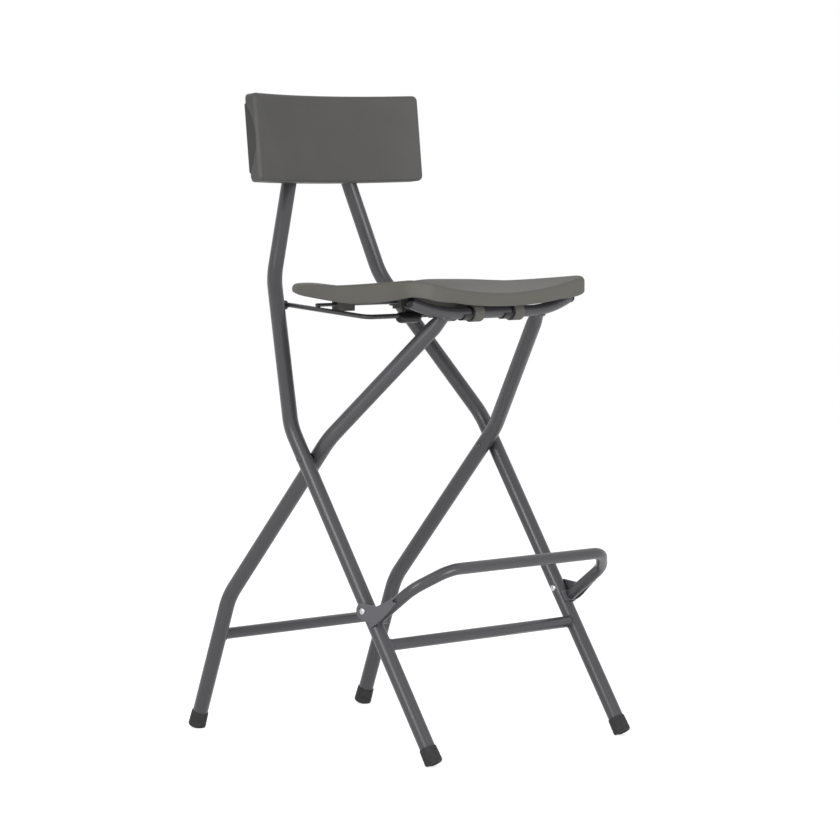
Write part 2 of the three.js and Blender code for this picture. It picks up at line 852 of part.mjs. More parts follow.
// A rectangle with round corners, as a loop of points set in from its edge by a distance. The
// loop starts in the middle of the front right corner's arc and runs anticlockwise.
function roundedLoop(plan, inset) {
  const { halfWidth, low, high, lowCorner, highCorner, across, along, arc } = plan;
  const corners = [
    { x: halfWidth - lowCorner, y: low + lowCorner, radius: lowCorner, steps: along },
    { x: halfWidth - highCorner, y: high - highCorner, radius: highCorner, steps: across },
    { x: -halfWidth + highCorner, y: high - highCorner, radius: highCorner, steps: along },
    { x: -halfWidth + lowCorner, y: low + lowCorner, radius: lowCorner, steps: across },
  ];
  const onCorner = (corner, angle) => new THREE.Vector2(
    corner.x + (corner.radius - inset) * Math.cos(angle),
    corner.y + (corner.radius - inset) * Math.sin(angle),
  );
  const points = [];
  corners.forEach((corner, i) => {
    const start = ((i - 1) * Math.PI) / 2;
    for (let k = 0; k <= arc; k += 1) {
      points.push(onCorner(corner, start + (Math.PI * k) / (2 * arc)));
    }
    const from = points.at(-1);
    const to = onCorner(corners[(i + 1) % corners.length], start + Math.PI / 2);
    for (let k = 1; k < corner.steps; k += 1) {
      points.push(from.clone().lerp(to, k / corner.steps));
    }
  });
  const lead = arc / 2;
  return [...points.slice(lead), ...points.slice(0, lead)];
}

// Points inside a loop, in rows and columns that follow its four sides
function patchInside(plan, loop) {
  const columns = plan.across + plan.arc;
  const rows = plan.along + plan.arc;
  const right = (j) => loop[j];
  const back = (i) => loop[rows + columns - i];
  const left = (j) => loop[2 * rows + columns - j];
  const front = (i) => loop[(2 * rows + columns + i) % loop.length];
  const patch = [];
  for (let j = 1; j < rows; j += 1) {
    for (let i = 1; i < columns; i += 1) {
      const u = i / columns;
      const v = j / rows;
      const point = new THREE.Vector2();
      point.addScaledVector(front(i), 1 - v).addScaledVector(back(i), v);
      point.addScaledVector(left(j), 1 - u).addScaledVector(right(j), u);
      point.addScaledVector(front(0), -(1 - u) * (1 - v));
      point.addScaledVector(front(columns), -u * (1 - v));
      point.addScaledVector(back(0), -(1 - u) * v);
      point.addScaledVector(back(columns), -u * v);
      patch.push(point);
    }
  }
  return patch;
}

// A closed tray-like shell: face(x, y) is its outer surface, lip(x, y) the free edge of its skirt.
// Loops of points run from the face round the edge, down the skirt and up its inside; the face
// and the inside of the tray are filled with rows and columns of points.
function trayShell({ plan, face, lip, wall, skirtWall, edgeRadius, bend = (p) => p }) {
  const loopAt = (inset) => roundedLoop(plan, inset).map(bend);
  const crest = loopAt(edgeRadius);
  const inner = loopAt(skirtWall);
  const rim = loopAt(0);
  const lipRound = skirtWall / 4;
  const onFace = (p) => [p.x, p.y, face(p.x, p.y)];
  const onInside = (p) => [p.x, p.y, face(p.x, p.y) - wall];
  const loops = [crest.map(onFace)];
  for (const share of [0.5, 1]) {
    const angle = (share * Math.PI) / 2;
    const drop = edgeRadius * (1 - Math.cos(angle));
    const points = loopAt(edgeRadius * (1 - Math.sin(angle)));
    loops.push(points.map((p, i) => [p.x, p.y, face(crest[i].x, crest[i].y) - drop]));
  }
  loops.push(rim.map((p) => [p.x, p.y, lip(p.x, p.y) + lipRound]));
  for (const inset of [lipRound, skirtWall - lipRound]) {
    loops.push(loopAt(inset).map((p, i) => [p.x, p.y, lip(rim[i].x, rim[i].y)]));
  }
  loops.push(inner.map((p, i) => [p.x, p.y, lip(rim[i].x, rim[i].y) + lipRound]));
  loops.push(inner.map(onInside));
  const top = patchInside(plan, roundedLoop(plan, edgeRadius)).map(bend);
  const bottom = patchInside(plan, roundedLoop(plan, skirtWall)).map(bend);
  return closedTray(plan, loops, top.map(onFace), bottom.map(onInside));
}

// Joins the loops into bands, and fills the first and last loop with their patches
function closedTray(plan, loops, top, bottom) {
  const count = loops[0].length;
  const columns = plan.across + plan.arc;
  const rows = plan.along + plan.arc;
  const positions = [...loops.flat(), ...top, ...bottom].flat();
  const index = [];
  for (let band = 0; band < loops.length - 1; band += 1) {
    for (let i = 0; i < count; i += 1) {
      const next = (i + 1) % count;
      const a = band * count + i;
      const b = band * count + next;
      index.push(a, a + count, b, b, a + count, b + count);
    }
  }
  const fill = (loopStart, patchStart, upward) => {
    const at = (i, j) => {
      if (i === columns) return loopStart + j;
      if (j === rows) return loopStart + rows + columns - i;
      if (i === 0) return loopStart + 2 * rows + columns - j;
      if (j === 0) return loopStart + ((2 * rows + columns + i) % count);
      return patchStart + (j - 1) * (columns - 1) + (i - 1);
    };
    for (let j = 0; j < rows; j += 1) {
      for (let i = 0; i < columns; i += 1) {
        const [a, b, c, d] = [at(i, j), at(i + 1, j), at(i, j + 1), at(i + 1, j + 1)];
        const cell = upward ? [a, b, d, a, d, c] : [a, d, b, a, c, d];
        index.push(...cell);
      }
    }
  };
  fill(0, loops.length * count, true);
  fill((loops.length - 1) * count, loops.length * count + top.length, false);
  const geometry = new THREE.BufferGeometry();
  geometry.setAttribute('position', new THREE.Float32BufferAttribute(positions, 3));
  geometry.setIndex(index);
  geometry.computeVertexNormals();
  return geometry;
}

// The seat's front edge bows forward in the middle
function bowFront(point) {
  const frontShare = Math.max(0, (seatMidY - point.y) / seatHalfDepth);
  const bow = seatFrontBow * frontShare * (1 - (point.x / seatHalfWidth) ** 2);
  return new THREE.Vector2(point.x, point.y - bow);
}

function seatPanel() {
  return trayShell({
    plan: {
      halfWidth: seatHalfWidth,
      low: seatFrontY,
      high: seatRearY,
      lowCorner: seatFrontCorner,
      highCorner: seatRearCorner,
      across: 8,
      along: 6,
      arc: 6,
    },
    bend: bowFront,
    face: seatTopZ,
    lip: seatLipAt,
    wall: seatPlate,
    skirtWall: seatSkirtWall,
    edgeRadius: seatEdgeRadius,
  });
}

// Height just under the seat plate over a rectangle, for a flange that is seated there
function undersideOver(x1, x2, y1, y2) {
  const xShares = [0, 0.5, 1];
  let lowest = Infinity;
  for (const a of xShares) {
    for (const b of xShares) {
      const z = seatTopZ(x1 + (x2 - x1) * a, y1 + (y2 - y1) * b);
      lowest = Math.min(lowest, z);
    }
  }
  return lowest - seatPlate - fitGap;
}

const linerRadius = barRadius + fitGap + linerWall;
const clipRadius = linerRadius + fitGap + clipWall;

// A clip wraps the liner on the seat bar and is screwed to the seat by its flange
function seatClip(x) {
  const x1 = x - clipWidth / 2;
  const x2 = x + clipWidth / 2;
  const y1 = seatBarY - clipFlangeFront;
  const y2 = seatBarY + clipFlangeBack;
  const top = undersideOver(x1, x2, y1, y2);
  const ring = rodX(x1, x2, seatBarY, seatBarZ, clipRadius, latheSides);
  const neck = boxBetween(
    new THREE.Vector3(x1, seatBarY - clipNeck, seatBarZ),
    new THREE.Vector3(x2, seatBarY + clipNeck, top - clipFlange / 2),
  );
  const flange = boxBetween(
    new THREE.Vector3(x1, y1, top - clipFlange),
    new THREE.Vector3(x2, y2, top),
  );
  const bore = rodX(
    x1 - cutOverrun,
    x2 + cutOverrun,
    seatBarY,
    seatBarZ,
    linerRadius + fitGap,
    latheSides,
  );
  return cut(join([ring, neck, flange]), [bore, screwHole(clipScrewSpot(x))]);
}

// A liner is a sleeve on the seat bar inside the clip, with a half-round tongue on one side
function clipLiner(x) {
  const x2 = x + clipWidth / 2 + fitGap;
  const x1 = x - clipWidth / 2 - linerCollar;
  const bore = barRadius + fitGap;
  const profile = [
    [bore, 0],
    [linerRadius, 0],
    [linerRadius, linerLength],
    [bore, linerLength],
    [bore, 0],
  ];
  const liner = latheX(profile);
  liner.translate(x2 - linerLength, seatBarY, seatBarZ);
  const above = boxBetween(
    new THREE.Vector3(x2 - linerLength - cutOverrun, seatBarY - cutOverrun, seatBarZ - linerWall),
    new THREE.Vector3(x1, seatBarY + cutOverrun, seatBarZ + cutOverrun),
  );
  return cut(liner, [above]);
}

function clipFlangeTop(x) {
  return undersideOver(
    x - clipWidth / 2,
    x + clipWidth / 2,
    seatBarY - clipFlangeFront,
    seatBarY + clipFlangeBack,
  );
}

function clipScrewSpot(x) {
  const y = seatBarY + clipFlangeBack - screwHeadRadius * 1.4;
  const point = new THREE.Vector3(x, y, clipFlangeTop(x) - clipFlange);
  return { point, direction: new THREE.Vector3(0, 0, 1), length: clipFlange };
}

// A hook hangs from the seat and straddles the cross wire; its front leg flares forward
function hookTop(x) {
  return undersideOver(
    x - hookWidth / 2,
    x + hookWidth / 2,
    crossWireY - hookFlangeFront,
    crossWireY + crossWireRadius + hookRear,
  );
}

function seatHook(x) {
  const x1 = x - hookWidth / 2;
  const x2 = x + hookWidth / 2;
  const top = hookTop(x);
  const slot = crossWireRadius + fitGap;
  const roof = crossWireZ + slot;
  const rear = crossWireY + slot + hookRear;
  const front = crossWireY - hookFront;
  const foot = crossWireZ - hookDrop;
  const outline = [
    [rear, foot],
    [rear, top],
    [crossWireY - hookFlangeFront, top],
    [crossWireY - hookFlangeFront, top - hookFlange],
    [front, top - hookFlange],
    [front, foot],
    [crossWireY - slot - hookFlare, foot],
    [crossWireY - slot, crossWireZ],
    [crossWireY - slot, roof],
    [crossWireY + slot, roof],
    [crossWireY + slot, foot],
  ].map(([y, z]) => new THREE.Vector2(y, z));
  return cut(plateX(outline, x1, x2), [screwHole(hookScrewSpot(x))]);
}

function hookScrewSpot(x) {
  const y = crossWireY - hookFlangeFront + screwHeadRadius * 2;
  const point = new THREE.Vector3(x, y, hookTop(x) - hookFlange);
  return { point, direction: new THREE.Vector3(0, 0, 1), length: hookFlange };
}

// A post stands behind each bearing and takes the wire's push when the stool is open
function bearingPost(x) {
  const x1 = x - postWidth / 2;
  const x2 = x + postWidth / 2;
  const y1 = wireFrontY + bearingBulbRadius + fitGap;
  const y2 = y1 + postDepth;
  const top = undersideOver(x1, x2, y1, y2 + postDepth);
  const foot = wireFrontZ - bearingBulbDrop - postDrop;
  const outline = [
    [y1, foot],
    [y2, foot],
    [y2 + postDepth, top],
    [y1, top],
  ].map(([y, z]) => new THREE.Vector2(y, z));
  return plateX(outline, x1, x2);
}

// A screw has its seat at a spot, and its shank runs along the spot's direction
function screwHole(spot) {
  const reach = spot.direction.clone().multiplyScalar(spot.length + cutOverrun / 10);
  const from = spot.point.clone().sub(spot.direction.clone().multiplyScalar(cutOverrun / 10));
  return rod(from, spot.point.clone().add(reach), screwShankRadius + fitGap, boreSides);
}

function screw(spot) {
  const profile = [
    [0, -screwHeadHeight - fitGap],
    [screwHeadRadius * 0.6, -screwHeadHeight * 0.85 - fitGap],
    [screwHeadRadius, -screwHeadHeight * 0.3 - fitGap],
    [screwHeadRadius, -fitGap],
    [screwShankRadius, -fitGap],
    [screwShankRadius, spot.length],
    [0, spot.length],
  ];
  const points = profile.map(([r, h]) => new THREE.Vector2(r, h));
  const geometry = new THREE.LatheGeometry(points, boreSides);
  const turn = new THREE.Quaternion();
  turn.setFromUnitVectors(new THREE.Vector3(0, 1, 0), spot.direction);
  geometry.applyQuaternion(turn);
  geometry.translate(spot.point.x, spot.point.y, spot.point.z);
  return geometry;
}

// Backrest pieces are shaped lying down, x across, y up the backrest and z towards the sitter,
// and then stood up with the lean of the uprights
const backrestHalf = backrestHeight / 2;

function standUp(geometry) {
  geometry.applyMatrix4(backrestMatrix());
  return geometry;
}

function backrestMatrix() {
  const matrix = new THREE.Matrix4();
  matrix.makeRotationX(Math.PI / 2 - backrestLean);
  matrix.setPosition(0, backrestFaceY, backrestCentreZ);
  return matrix;
}

// The face is hollow towards the sitter: an arc of the curve radius across the width
function backrestFace(x) {
  return backrestCurveRadius - Math.sqrt(backrestCurveRadius ** 2 - x ** 2);
}

function backrestPlan(inset) {
  return {
    halfWidth: backrestHalfWidth - inset,
    low: -backrestHalf + inset,
    high: backrestHalf - inset,
    lowCorner: backrestCorner,
    highCorner: backrestCorner,
    across: 8,
    along: 4,
    arc: 4,
  };
}

// At the ends the skirt is scooped out towards the face at mid height
function backrestLip(x, y) {
  const endShare = Math.max(0, (Math.abs(x) / backrestHalfWidth - 0.9) / 0.1);
  const heightShare = Math.min(Math.abs(y) / backrestScoopHalf, 1);
  const scoop = backrestScoop * Math.min(endShare * 1.2, 1) * (1 - heightShare ** 2);
  return backrestFace(x) - backrestSkirt + scoop;
}

function backrestPanel() {
  const shell = trayShell({
    plan: backrestPlan(0),
    face: backrestFace,
    lip: backrestLip,
    wall: backrestWall,
    skirtWall: backrestWall,
    edgeRadius: backrestEdgeRadius,
  });
  const cutters = sides.map(({ sign }) => uprightCutter(sign));
  return cut(standUp(shell), cutters);
}

function uprightCutter(sign) {
  const line = backFrameLine(sign);
  const above = line.top.clone().sub(line.shoulder).normalize();
  const end = line.top.clone().addScaledVector(above, fitGap);
  return rod(line.shoulder, end, tubeRadius + fitGap, tubeSides);
}

// The cover is flat behind the uprights and runs forward towards the backrest's ends
const coverDepth = uprightSetback + tubeRadius + fitGap + coverWall;

function coverRearAt(x, y = 0) {
  const share = smoothStep((Math.abs(x) - coverFlatHalf) / (backrestHalfWidth - coverFlatHalf));
  const end = backrestFace(backrestHalfWidth) - coverEndDepth;
  const plateau = -coverDepth + (end + coverDepth) * share;
  const flange = backrestFace(x) - backrestSkirt + coverFlangeInset;
  const slope = (Math.abs(y) - coverPlateauHalf) / coverPlateauSlope;
  return plateau + (flange - plateau) * Math.min(Math.max(slope, 0), 1);
}

// The rear cover is a shallow tray that closes the backrest behind the uprights
function backrestCover() {
  const shell = trayShell({
    plan: backrestPlan(backrestWall + fitGap),
    face: (x, y) => -coverRearAt(x, y),
    lip: (x) => backrestWall + coverFrontGap - backrestFace(x),
    wall: coverWall,
    skirtWall: coverWall,
    edgeRadius: coverEdgeRadius,
  });
  shell.applyMatrix4(new THREE.Matrix4().makeRotationY(Math.PI));
  standUp(shell);
  const cutters = sides.map(({ sign }) => uprightCutter(sign));
  for (const { sign } of sides) {
    cutters.push(...backrestScrewSpots(sign).map(screwHole));
  }
  return cut(shell, cutters);
}

// Two screws go through the cover into each upright
function backrestScrewSpots(sign) {
  const line = backFrameLine(sign);
  const normal = new THREE.Vector3(0, -Math.cos(backrestLean), Math.sin(backrestLean));
  return [-1, 1].map((step) => {
    const z = backrestCentreZ + step * (backrestHalf - backrestScrewInset);
    const axisPoint = pointAtHeight(line.shoulder, line.top, z);
    const local = axisPoint.clone().applyMatrix4(backrestMatrix().invert());
    local.z = coverRearAt(local.x) - fitGap;
    const point = local.applyMatrix4(backrestMatrix());
    return { point, direction: normal, length: coverWall + tubeDiameter / 2 };
  });
}

// Back frame
for (const { sign, name } of sides) {
  addPiece(`back_frame_tube_${name}`, backFrameTube(sign), steelPaint);
  addPiece(`front_foot_cap_${name}`, standingCap(backFrameLine(sign).foot), blackRubber);
  addPiece(`wire_bush_${name}`, wireBush(sign), blackPlastic);
  addPiece(`crossing_rivet_${name}`, crossingRivet(sign), brightSteel);
  addPiece(`crossing_washer_${name}`, crossingWasher(sign), blackPlastic);
  addPiece(`footrest_rivet_${name}`, footrestRivet(sign), brightSteel);
}
addPiece(
  'front_crossbar',
  crossbar(frontCrossbarAt, legHalfSpread, backLine.foot.sole, backLine.knee),
  steelPaint,
);
addPiece('backrest_panel', backrestPanel(), shellPlastic);
addPiece('backrest_rear_cover', backrestCover(), coverPlastic);
for (const { sign, name } of sides) {
  const [lower, upper] = backrestScrewSpots(sign);
  addPiece(`backrest_screw_lower_${name}`, screw(lower), brightSteel);
  addPiece(`backrest_screw_upper_${name}`, screw(upper), brightSteel);
}

// Seat frame
for (const { sign, name } of sides) {
  addPiece(`seat_frame_tube_${name}`, seatFrameTube(sign), steelPaint);
  addPiece(`rear_foot_cap_${name}`, standingCap(seatFrameLine(sign).foot), blackRubber);
  addPiece(`seat_bar_plug_${name}`, seatBarPlug(sign), blackPlastic);
}
addPiece(
  'rear_crossbar',
  crossbar(rearCrossbarAt, seatLegX, seatLine.foot.sole, seatLine.knee),
  steelPaint,
);
addPiece('seat_bar', seatBarSweep(barRadius, barSides, barRadius - barWall), steelPaint);

// Seat
addPiece('seat_panel', seatPanel(), shellPlastic);
for (const { sign, name } of sides) {
  addPiece(`seat_clip_${name}`, seatClip(sign * clipX), shellPlastic);
  addPiece(`clip_liner_${name}`, clipLiner(sign * clipX), blackPlastic);
  addPiece(`seat_hook_${name}`, seatHook(sign * hookX), shellPlastic);
  addPiece(`bearing_post_${name}`, bearingPost(sign * postX), blackPlastic);
  addPiece(`clip_screw_${name}`, screw(clipScrewSpot(sign * clipX)), brightSteel);
  addPiece(`hook_screw_${name}`, screw(hookScrewSpot(sign * hookX)), brightSteel);
}

// Wire support
addPiece('wire_support', wireSupport(), steelPaint);
addPiece(
  'cross_wire',
  rodX(-crossWireHalf, crossWireHalf, crossWireY, crossWireZ, crossWireRadius, wireSides),
  steelPaint,
);
for (const { sign, name } of sides) {
  addPiece(`wire_bearing_${name}`, wireBearing(sign * bearingX), blackPlastic);
}

// Footrest
addPiece('footrest_bar', footrestBar(), steelPaint);
for (const { sign, name } of sides) {
  addPiece(`footrest_bracket_${name}`, footrestBracket(sign), steelPaint);
}

export default stool;
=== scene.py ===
"""Folding bar stool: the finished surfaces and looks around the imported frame.

Shapes are written in millimetres, in the frame's own axes (X to the sitter's left, -Y forwards,
Z up), and become metres when a mesh is made. Each surface is a grid of points worked out with
numpy: a ring carried along a line, a profile turned about an axis, or loops of a moulded shell.
"""
import math

import bmesh
import bpy
import numpy as np
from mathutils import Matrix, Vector
from mathutils.geometry import tessellate_polygon


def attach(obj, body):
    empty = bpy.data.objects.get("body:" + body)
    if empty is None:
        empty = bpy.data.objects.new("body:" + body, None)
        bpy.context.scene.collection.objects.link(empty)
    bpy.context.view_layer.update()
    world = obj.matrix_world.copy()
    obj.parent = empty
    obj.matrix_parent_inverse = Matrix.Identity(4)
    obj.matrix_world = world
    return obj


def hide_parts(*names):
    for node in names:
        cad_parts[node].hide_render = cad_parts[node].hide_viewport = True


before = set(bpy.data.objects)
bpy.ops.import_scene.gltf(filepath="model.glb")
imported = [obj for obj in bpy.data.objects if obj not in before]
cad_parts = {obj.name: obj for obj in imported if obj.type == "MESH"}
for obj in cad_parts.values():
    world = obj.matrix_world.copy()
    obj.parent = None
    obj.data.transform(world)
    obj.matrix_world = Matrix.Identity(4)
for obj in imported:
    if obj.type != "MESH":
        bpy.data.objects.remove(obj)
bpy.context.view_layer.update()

MM = 0.001

# Stock
TUBE_R, BAR_R, WIRE_R, CROSS_WIRE_R = 12.8, 9.5, 4.0, 3.0
SHEET = 2.5
GAP = 0.3
TUBE_EASE, BAR_EASE, WIRE_EASE = 0.8, 0.5, 0.4

# Back frame, seen on the sitter's left
LEG_X = 228.8
FRONT_FLOOR_Y = -295.9
KNEE = (LEG_X, 29.4, 523.3)
SHOULDER = (126.8, 174.2, 763.3)
UPRIGHT_TOP = (34.8, 207.5, 1025.0)
FRAME_BEND = 110.0
FRONT_BAR_Z = 183.4

# Seat frame
FRAME_GAP = 3.0
SEAT_LEG_X = LEG_X - 2 * TUBE_R - FRAME_GAP
REAR_FLOOR_Y = 290.5
REAR_KNEE = (SEAT_LEG_X, 208.7, 229.2)
HIP = (SEAT_LEG_X, -28.4, 505.2)
ARM_TOP = (115.1, -199.6, 702.1)
ARM_OVERRUN, PINCH, PINCH_LENGTH = 8.0, 0.34, 28.0
REAR_BAR_Z = 163.6
CROSSBAR_SINK = 0.6 * TUBE_R
CROSSBAR_WELD, ARM_WELD = 1.9, 2.6

# Seat bar, and its plug's rim as steps out from the bar's radius and heights over its end
BAR_Y, BAR_Z, BAR_HALF = -210.0, 711.8, 190.4
BAR_STRAIGHT, BAR_RISE, BAR_BACK = 84.0, 19.8, 7.0
PLUG_RIM = ((-1.6, -14.0), (-1.6, 0.25), (0.7, 0.3), (1.0, 1.0), (0.9, 3.0), (0.2, 3.9),
            (-1.6, 4.2), (-2.4, 3.2))
PLUG_DOME_INSET, PLUG_DOME_FOOT, PLUG_DOME_RISE, PLUG_DOME_ARC = 3.0, 3.2, 2.6, (0.12, 1.5)

# Feet, and a cap's outside as steps out from its radius and heights over its sole
CAP_WALL = 1.7
CAP_R = TUBE_R + GAP + CAP_WALL
CAP_HEIGHT, CAP_CHAMFER, CAP_FLAT, CAP_FLOOR, CAP_COVER = 27.0, 1.5, 1.2, 6.0, 4.0
CAP_OUTSIDE = ((-6.5, 1.2), (-6.0, 0.0), (-CAP_CHAMFER, 0.0), (0.0, 2.2), (0.1, 8.0), (-0.35, 9.0),
               (-0.35, 10.0), (0.0, 11.0), (-0.6, CAP_HEIGHT))
CAP_MIDDLE, CAP_BORE_GAP, CAP_ROUND = (0.4, 1.2), 0.05, 0.9

# Rivets, washers and screws
RIVET_HEAD_R, RIVET_RISE, RIVET_FLAT, RIVET_R = 5.4, 2.6, 0.08, 4.0
WASHER_R, WASHER_EASE = 8.6, 0.25
SCREW_PROFILE = ((0.2, -1.7), (1.3, -2.2), (2.6, -2.5), (4.2, -1.2), (4.2, -0.3), (2.2, -0.3))
SCREW_R, SCREW_ROUND, SEAT_SHANK, BACK_SHANK = 2.2, 0.5, 3.4, 8.0

# Footrest
FOOTREST_PIVOT_Z = 237.6
ARM_DROP, ARM_SETBACK, BEND_DROP, BEND_REACH = 22.0, 1.5, 15.5, 104.0
ARM_INSET, CORNER_INSET, CORNER_FORWARD, CORNER_RISE = 2.5, 46.0, 39.0, 30.3
FOOTREST_BEND = 50.0
EAR_R, RIM_ROUND, WEB_TOP, WEB_INSET, WEB_BEND, WEB_START, WEB_SINK = 13.5, 5.0, 12.5, 26.0, 3.2, 2.0, 0.25
SHOULDER_DROP, SHOULDER_REACH = 8.0, 32.0
NOSE_DROP, NOSE_REACH, NOSE_DEPTH, TOE_REACH = 13.0, 68.0, 10.0, 27.0
SPOT_R, SPOT_HALF, SPOT_INSET, SPOT_SETBACK = 2.4, 5.5, 1.0, 1.5

# Wire support
WIRE_PIVOT_Z, WIRE_ARM_X = 718.0, 119.0
WIRE_FRONT = (143.0, -60.0, 703.5)
WIRE_ELBOW, WIRE_BEND, STUB_DEPTH = 6.5, 14.0, 8.0
CROSS_WIRE_Y, BLOB_R, BLOB_HALF = 68.0, 2.6, 5.0
BUSH_SLEEVE, BUSH_COLLAR, COLLAR_FROM, COLLAR_TO, SLEEVE_TO = 1.9, 3.6, -5.7, 2.0, 5.0
BEARING_X, BEARING_WIDTH, BULB_R, BULB_DROP, BEARING_WALL = 45.0, 50.0, 8.3, 4.0, 1.6
BEARING_EASE, BEARING_END = 8.0, 0.35
POST_X, POST_WIDTH, POST_DEPTH, POST_LIFT, POST_ROUND = 30.0, 24.0, 7.0, 2.0, 1.2

# Seat
SEAT_HALF, SEAT_FRONT_Y, SEAT_REAR_Y, SEAT_BOW = 210.0, -241.0, 85.0, 5.0
SEAT_FRONT_CORNER, SEAT_REAR_CORNER = 36.0, 66.0
SEAT_CENTRE_Z, SEAT_FRONT_Z, SEAT_BACK_Z = 741.0, 744.5, 750.8
SIDE_FRONT_Z, SIDE_BACK_Z, SIDE_RISE_FROM, SIDE_RISE_POWER = 772.3, 757.5, 0.2, 1.2
REAR_DIP_HALF, REAR_DIP_RISE = 50.0, 95.0
SEAT_PLATE, SKIRT_WALL, SEAT_EDGE, LIP_ROUND = 4.6, 7.0, 8.0, 0.45
LIP_Z, SIDE_LIP_Z, REAR_LIP_Z, LIP_RISE, LIP_RISE_END = 722.3, 727.5, 731.0, 7.4, 0.6
FRONT_CORNER_LIP_Z, REAR_CORNER_LIP_Z = 746.0, 745.5
SIDE_LIP_LOW, SIDE_LIP_POWER, CORNER_POWER = -0.05, 1.3, 6
RIB_HALF, RIB_TOP, RIB_FOOT, RIB_OVER_BAR, RIB_SINK = 172.0, (-179.5, -182.0), (-181.6, -179.9), 7.0, 1.0

# Seat fittings
LINER_R = BAR_R + GAP + 1.8
CLIP_R = LINER_R + GAP + 2.5
CLIP_X, CLIP_HALF, CLIP_AHEAD, CLIP_BEHIND, CLIP_NECK, CLIP_SPRING = 48.3, 11.0, 14.0, 26.0, 8.0, 12.0
# The liner's tongue is a black half shell under the bar: painted shade beside each clip.
LINER_END, LINER_COLLAR, SHADE_TONGUE, SHADE_TONGUE_LAP, SHADE_TONGUE_EDGE = 11.3, 15.0, 44.0, 1.0, 0.17
FLANGE, CLIP_ROUND, CLIP_SCREW_INSET, HOOK_SCREW_INSET = 3.5, 1.6, 5.88, 8.4
HOOK_X, HOOK_HALF, HOOK_REAR, HOOK_AHEAD, HOOK_REACH = 72.5, 15.0, 5.0, 16.0, 34.0
HOOK_DROP, HOOK_CATCH, HOOK_ROUND = 11.0, 7.0, 1.4

# Backrest
BACK_HALF, BACK_HEIGHT, BACK_Z, BACK_FACE_Y = 195.5, 147.0, 995.3, 170.0
BACK_LEAN = math.radians(5.8)
BACK_CURVE, BACK_CORNER, BACK_WALL, BACK_EDGE = 640.0, 9.5, 4.0, 5.5
BACK_SKIRT, BACK_SCOOP, SCOOP_HALF, SCOOP_FROM, SCOOP_GAIN = 25.5, 18.4, 58.0, 0.9, 1.2
COVER_WALL, COVER_END, COVER_FLAT, COVER_FRONT_GAP, COVER_EDGE = 3.0, 33.0, 84.0, 1.0, 3.0
FLANGE_INSET, PLATEAU_HALF, PLATEAU_SLOPE = 2.0, 56.5, 6.0
SCREW_INSET = 44.0

# Room, in metres and watts: each lamp's name, place, width and height, and power
LAMPS = (("key", (-3.8, -0.9, 1.9), (1.0, 2.2), 72),
         ("fill", (-0.2, -3.8, 0.7), (1.6, 1.2), 58),
         ("rear", (1.5, 3.2, 2.6), (2.4, 2.0), 14))
LAMP_TARGET = (0.0, 0.0, 0.6)
WORLD_LEVEL, FLOOR_GLOW, FLOOR_TONE, FLOOR_REACH = 0.50, 0.63, 0.78, 9.0
CAMERA_PLACE, CAMERA_TARGET = (-4.40592, -4.24428, 0.93311), (0.021437, -0.022529, 0.525980)
CAMERA_LENS, CAMERA_SENSOR = 157.19, 36.0

SIDES = ((-1, "right"), (1, "left"))


# Lines and rings

def unit(vectors):
    """Vectors divided by their own lengths."""
    vectors = np.asarray(vectors, float)
    return vectors / np.linalg.norm(vectors, axis=-1, keepdims=True)


def all_round(count):
    """Evenly spaced angles of a full turn."""
    return np.linspace(0, 2 * np.pi, count, endpoint=False)


def quarter_turn(steps):
    """Sine and 1 - cosine of the evenly spaced angles of a quarter turn."""
    angle = np.linspace(0, np.pi / 2, steps + 1)
    return np.sin(angle), 1 - np.cos(angle)


def circle(centre, radius, angle):
    """Points of a flat circle: centre + radius * (cos a, sin a)."""
    return np.column_stack([centre[0] + radius * np.cos(angle), centre[1] + radius * np.sin(angle)])


def bent_line(corners, radii, steps=20):
    """Straight runs between corner points. Each corner is an arc: start + radius * (sin a * the
    arriving direction + (1 - cos a) * the inward direction). Returns points and directions."""
    corners = np.array(corners, float)
    runs = unit(np.diff(corners, axis=0))
    points, directions = [corners[:1]], [runs[:1]]
    for corner, arriving, leaving, radius in zip(corners[1:-1], runs[:-1], runs[1:], radii):
        turn = math.acos(arriving @ leaving)
        inward = unit(leaving - arriving * (arriving @ leaving))
        angle = np.linspace(0, turn, steps + 1)[:, None]
        start = corner - arriving * radius * math.tan(turn / 2)
        points.append(start + radius * (np.sin(angle) * arriving + (1 - np.cos(angle)) * inward))
        directions.append(np.cos(angle) * arriving + np.sin(angle) * inward)
    return np.concatenate([*points, corners[-1:]]), np.concatenate([*directions, runs[-1:]])


def carried_axes(directions):
    """Two unit vectors square to each direction of a line. The first starts at the world axis
    that is most nearly square to the line and is carried along it without twist."""
    axis = np.eye(3)[np.argmin(np.abs(directions[0]))]
    first = np.empty_like(directions)
    for i, direction in enumerate(directions):
        axis = unit(axis - direction * (axis @ direction))
        first[i] = axis
    return first, np.cross(directions, first)


def rings_about(points, first, second, radii, sides):
    """Rings of points: centre + radius * (cos a * first axis + sin a * second)."""
    angle = all_round(sides)[None, :, None]
    around = np.cos(angle) * first[:, None] + np.sin(angle) * second[:, None]
    return points[:, None] + radii[:, None, None] * around


def ring_surface(points, directions, radii, sides):
    """A ring carried along a line."""
    return rings_about(points, *carried_axes(directions), radii, sides)


